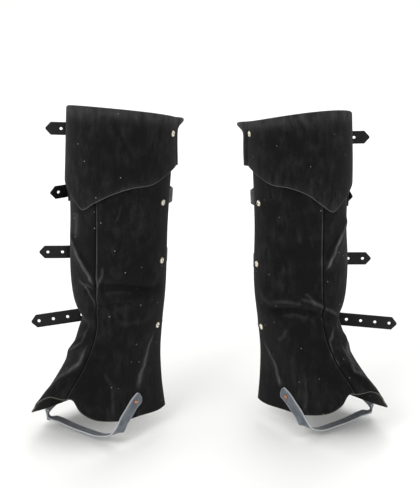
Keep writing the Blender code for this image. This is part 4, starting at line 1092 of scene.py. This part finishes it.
def stirrup_route(leg):
    """Middle line, width direction and outward normals of a stirrup: a curve through its ends on
    the two panels and its points under the foot, at even millimetres."""
    stand = SUEDE / 2 + 2 * GAP + STIRRUP / 2
    rows, way = np.array(STIRRUP_ENDS), np.array(UNDER_FOOT)
    under = from_leg_frame(leg, way[:, 0], way[:, 1], way[:, 2])
    knots = np.concatenate([skin(leg, rows[:, 1], -rows[:, 0], stand), under,
                            skin(leg, rows[::-1, 1], rows[::-1, 0], stand)])
    out = np.concatenate([facing(folded, leg, rows[:, 1], -rows[:, 0]),
                          unit(under - from_leg_frame(leg, *FOOT_CENTRE)),
                          facing(folded, leg, rows[::-1, 1], rows[::-1, 0])])
    distance = summed(np.linalg.norm(np.diff(knots, axis=0), axis=1))
    fine = np.linspace(0, distance[-1], int(distance[-1] * 1000))
    path = np.stack([smooth(distance, knots[:, k], fine) for k in range(3)], -1)
    out = np.stack([smooth(distance, out[:, k], fine) for k in range(3)], -1)
    return fine, path, *squared(path, out)


def split_leather(name, face, shade, edge):
    """Drummed split: soft and matt, faintly fibrous, scuffed, with pale untreated cut edges."""
    made = Finish(name, IOR=1.42, Sheen_Weight=0.15, Sheen_Roughness=0.5, Roughness=0.62)
    place = made.place()
    scuffed = made.blend(made.ranged(made.noise(place, 90.0, 4.0), 0.35, 0.65), shade, face)
    return made.feed(Base_Color=made.blend(made.mark("cut_edge"), scuffed, edge),
                     Normal=made.bump(made.noise(place, 1100.0, 3.0), 0.4, 0.0005))


SLATE_SPLIT = split_leather("slate grey split leather", "#62686f", "#4b515a", "#b0b3b6")
COPPER = rivet_metal("bare copper rivet", "#c58e6a", "#7c4a2f")
for leg in LEGS:
    fine, path, across, out = stirrup_route(leg)
    from_end = np.minimum(fine, fine[-1] - fine)
    half = STIRRUP_WIDTH / 2 * np.sqrt(np.clip(1 - (1 - np.clip(from_end / 0.0045, 0, 1))**2, 0.16, 1))
    width = np.array([-1, -0.93, -0.75, -0.5, -0.25, 0, 0.25, 0.5, 0.75, 0.93, 1.0])
    middle = path[:, None] + across[:, None] * (width[None, :] * half[:, None])[..., None]
    edge_in = np.minimum((1 - np.abs(width))[None, :] * half[:, None], from_end[:, None])
    half_thick = STIRRUP / 2 * np.where(edge_in < 1e-6, 0.6, 1.0)
    outer = middle + out[:, None] * half_thick[..., None]
    inner = middle - out[:, None] * half_thick[..., None]
    raw = np.exp(-(edge_in / 0.0006)**2)
    node = f"{leg.name}_stirrup"
    new_piece(f"{node}_leather", *wall_of(outer, inner), SLATE_SPLIT, node, "stirrup_leather",
              {"cut_edge": np.concatenate([raw, raw])})
    for name, end in (("medial", 1), ("lateral", -2)):
        coarse = np.linspace(0, fine[-1], STIRRUP_STEPS)[end]
        k = int(np.argmin(np.abs(fine - coarse)))
        rivet(f"{leg.name}_stirrup_rivet_{name}", COPPER, "copper",
              path[k] + out[k] * (STIRRUP / 2 - 0.0004), out[k], SMALL_RIVET_RADIUS,
              SMALL_RIVET_HEIGHT + 0.0007)
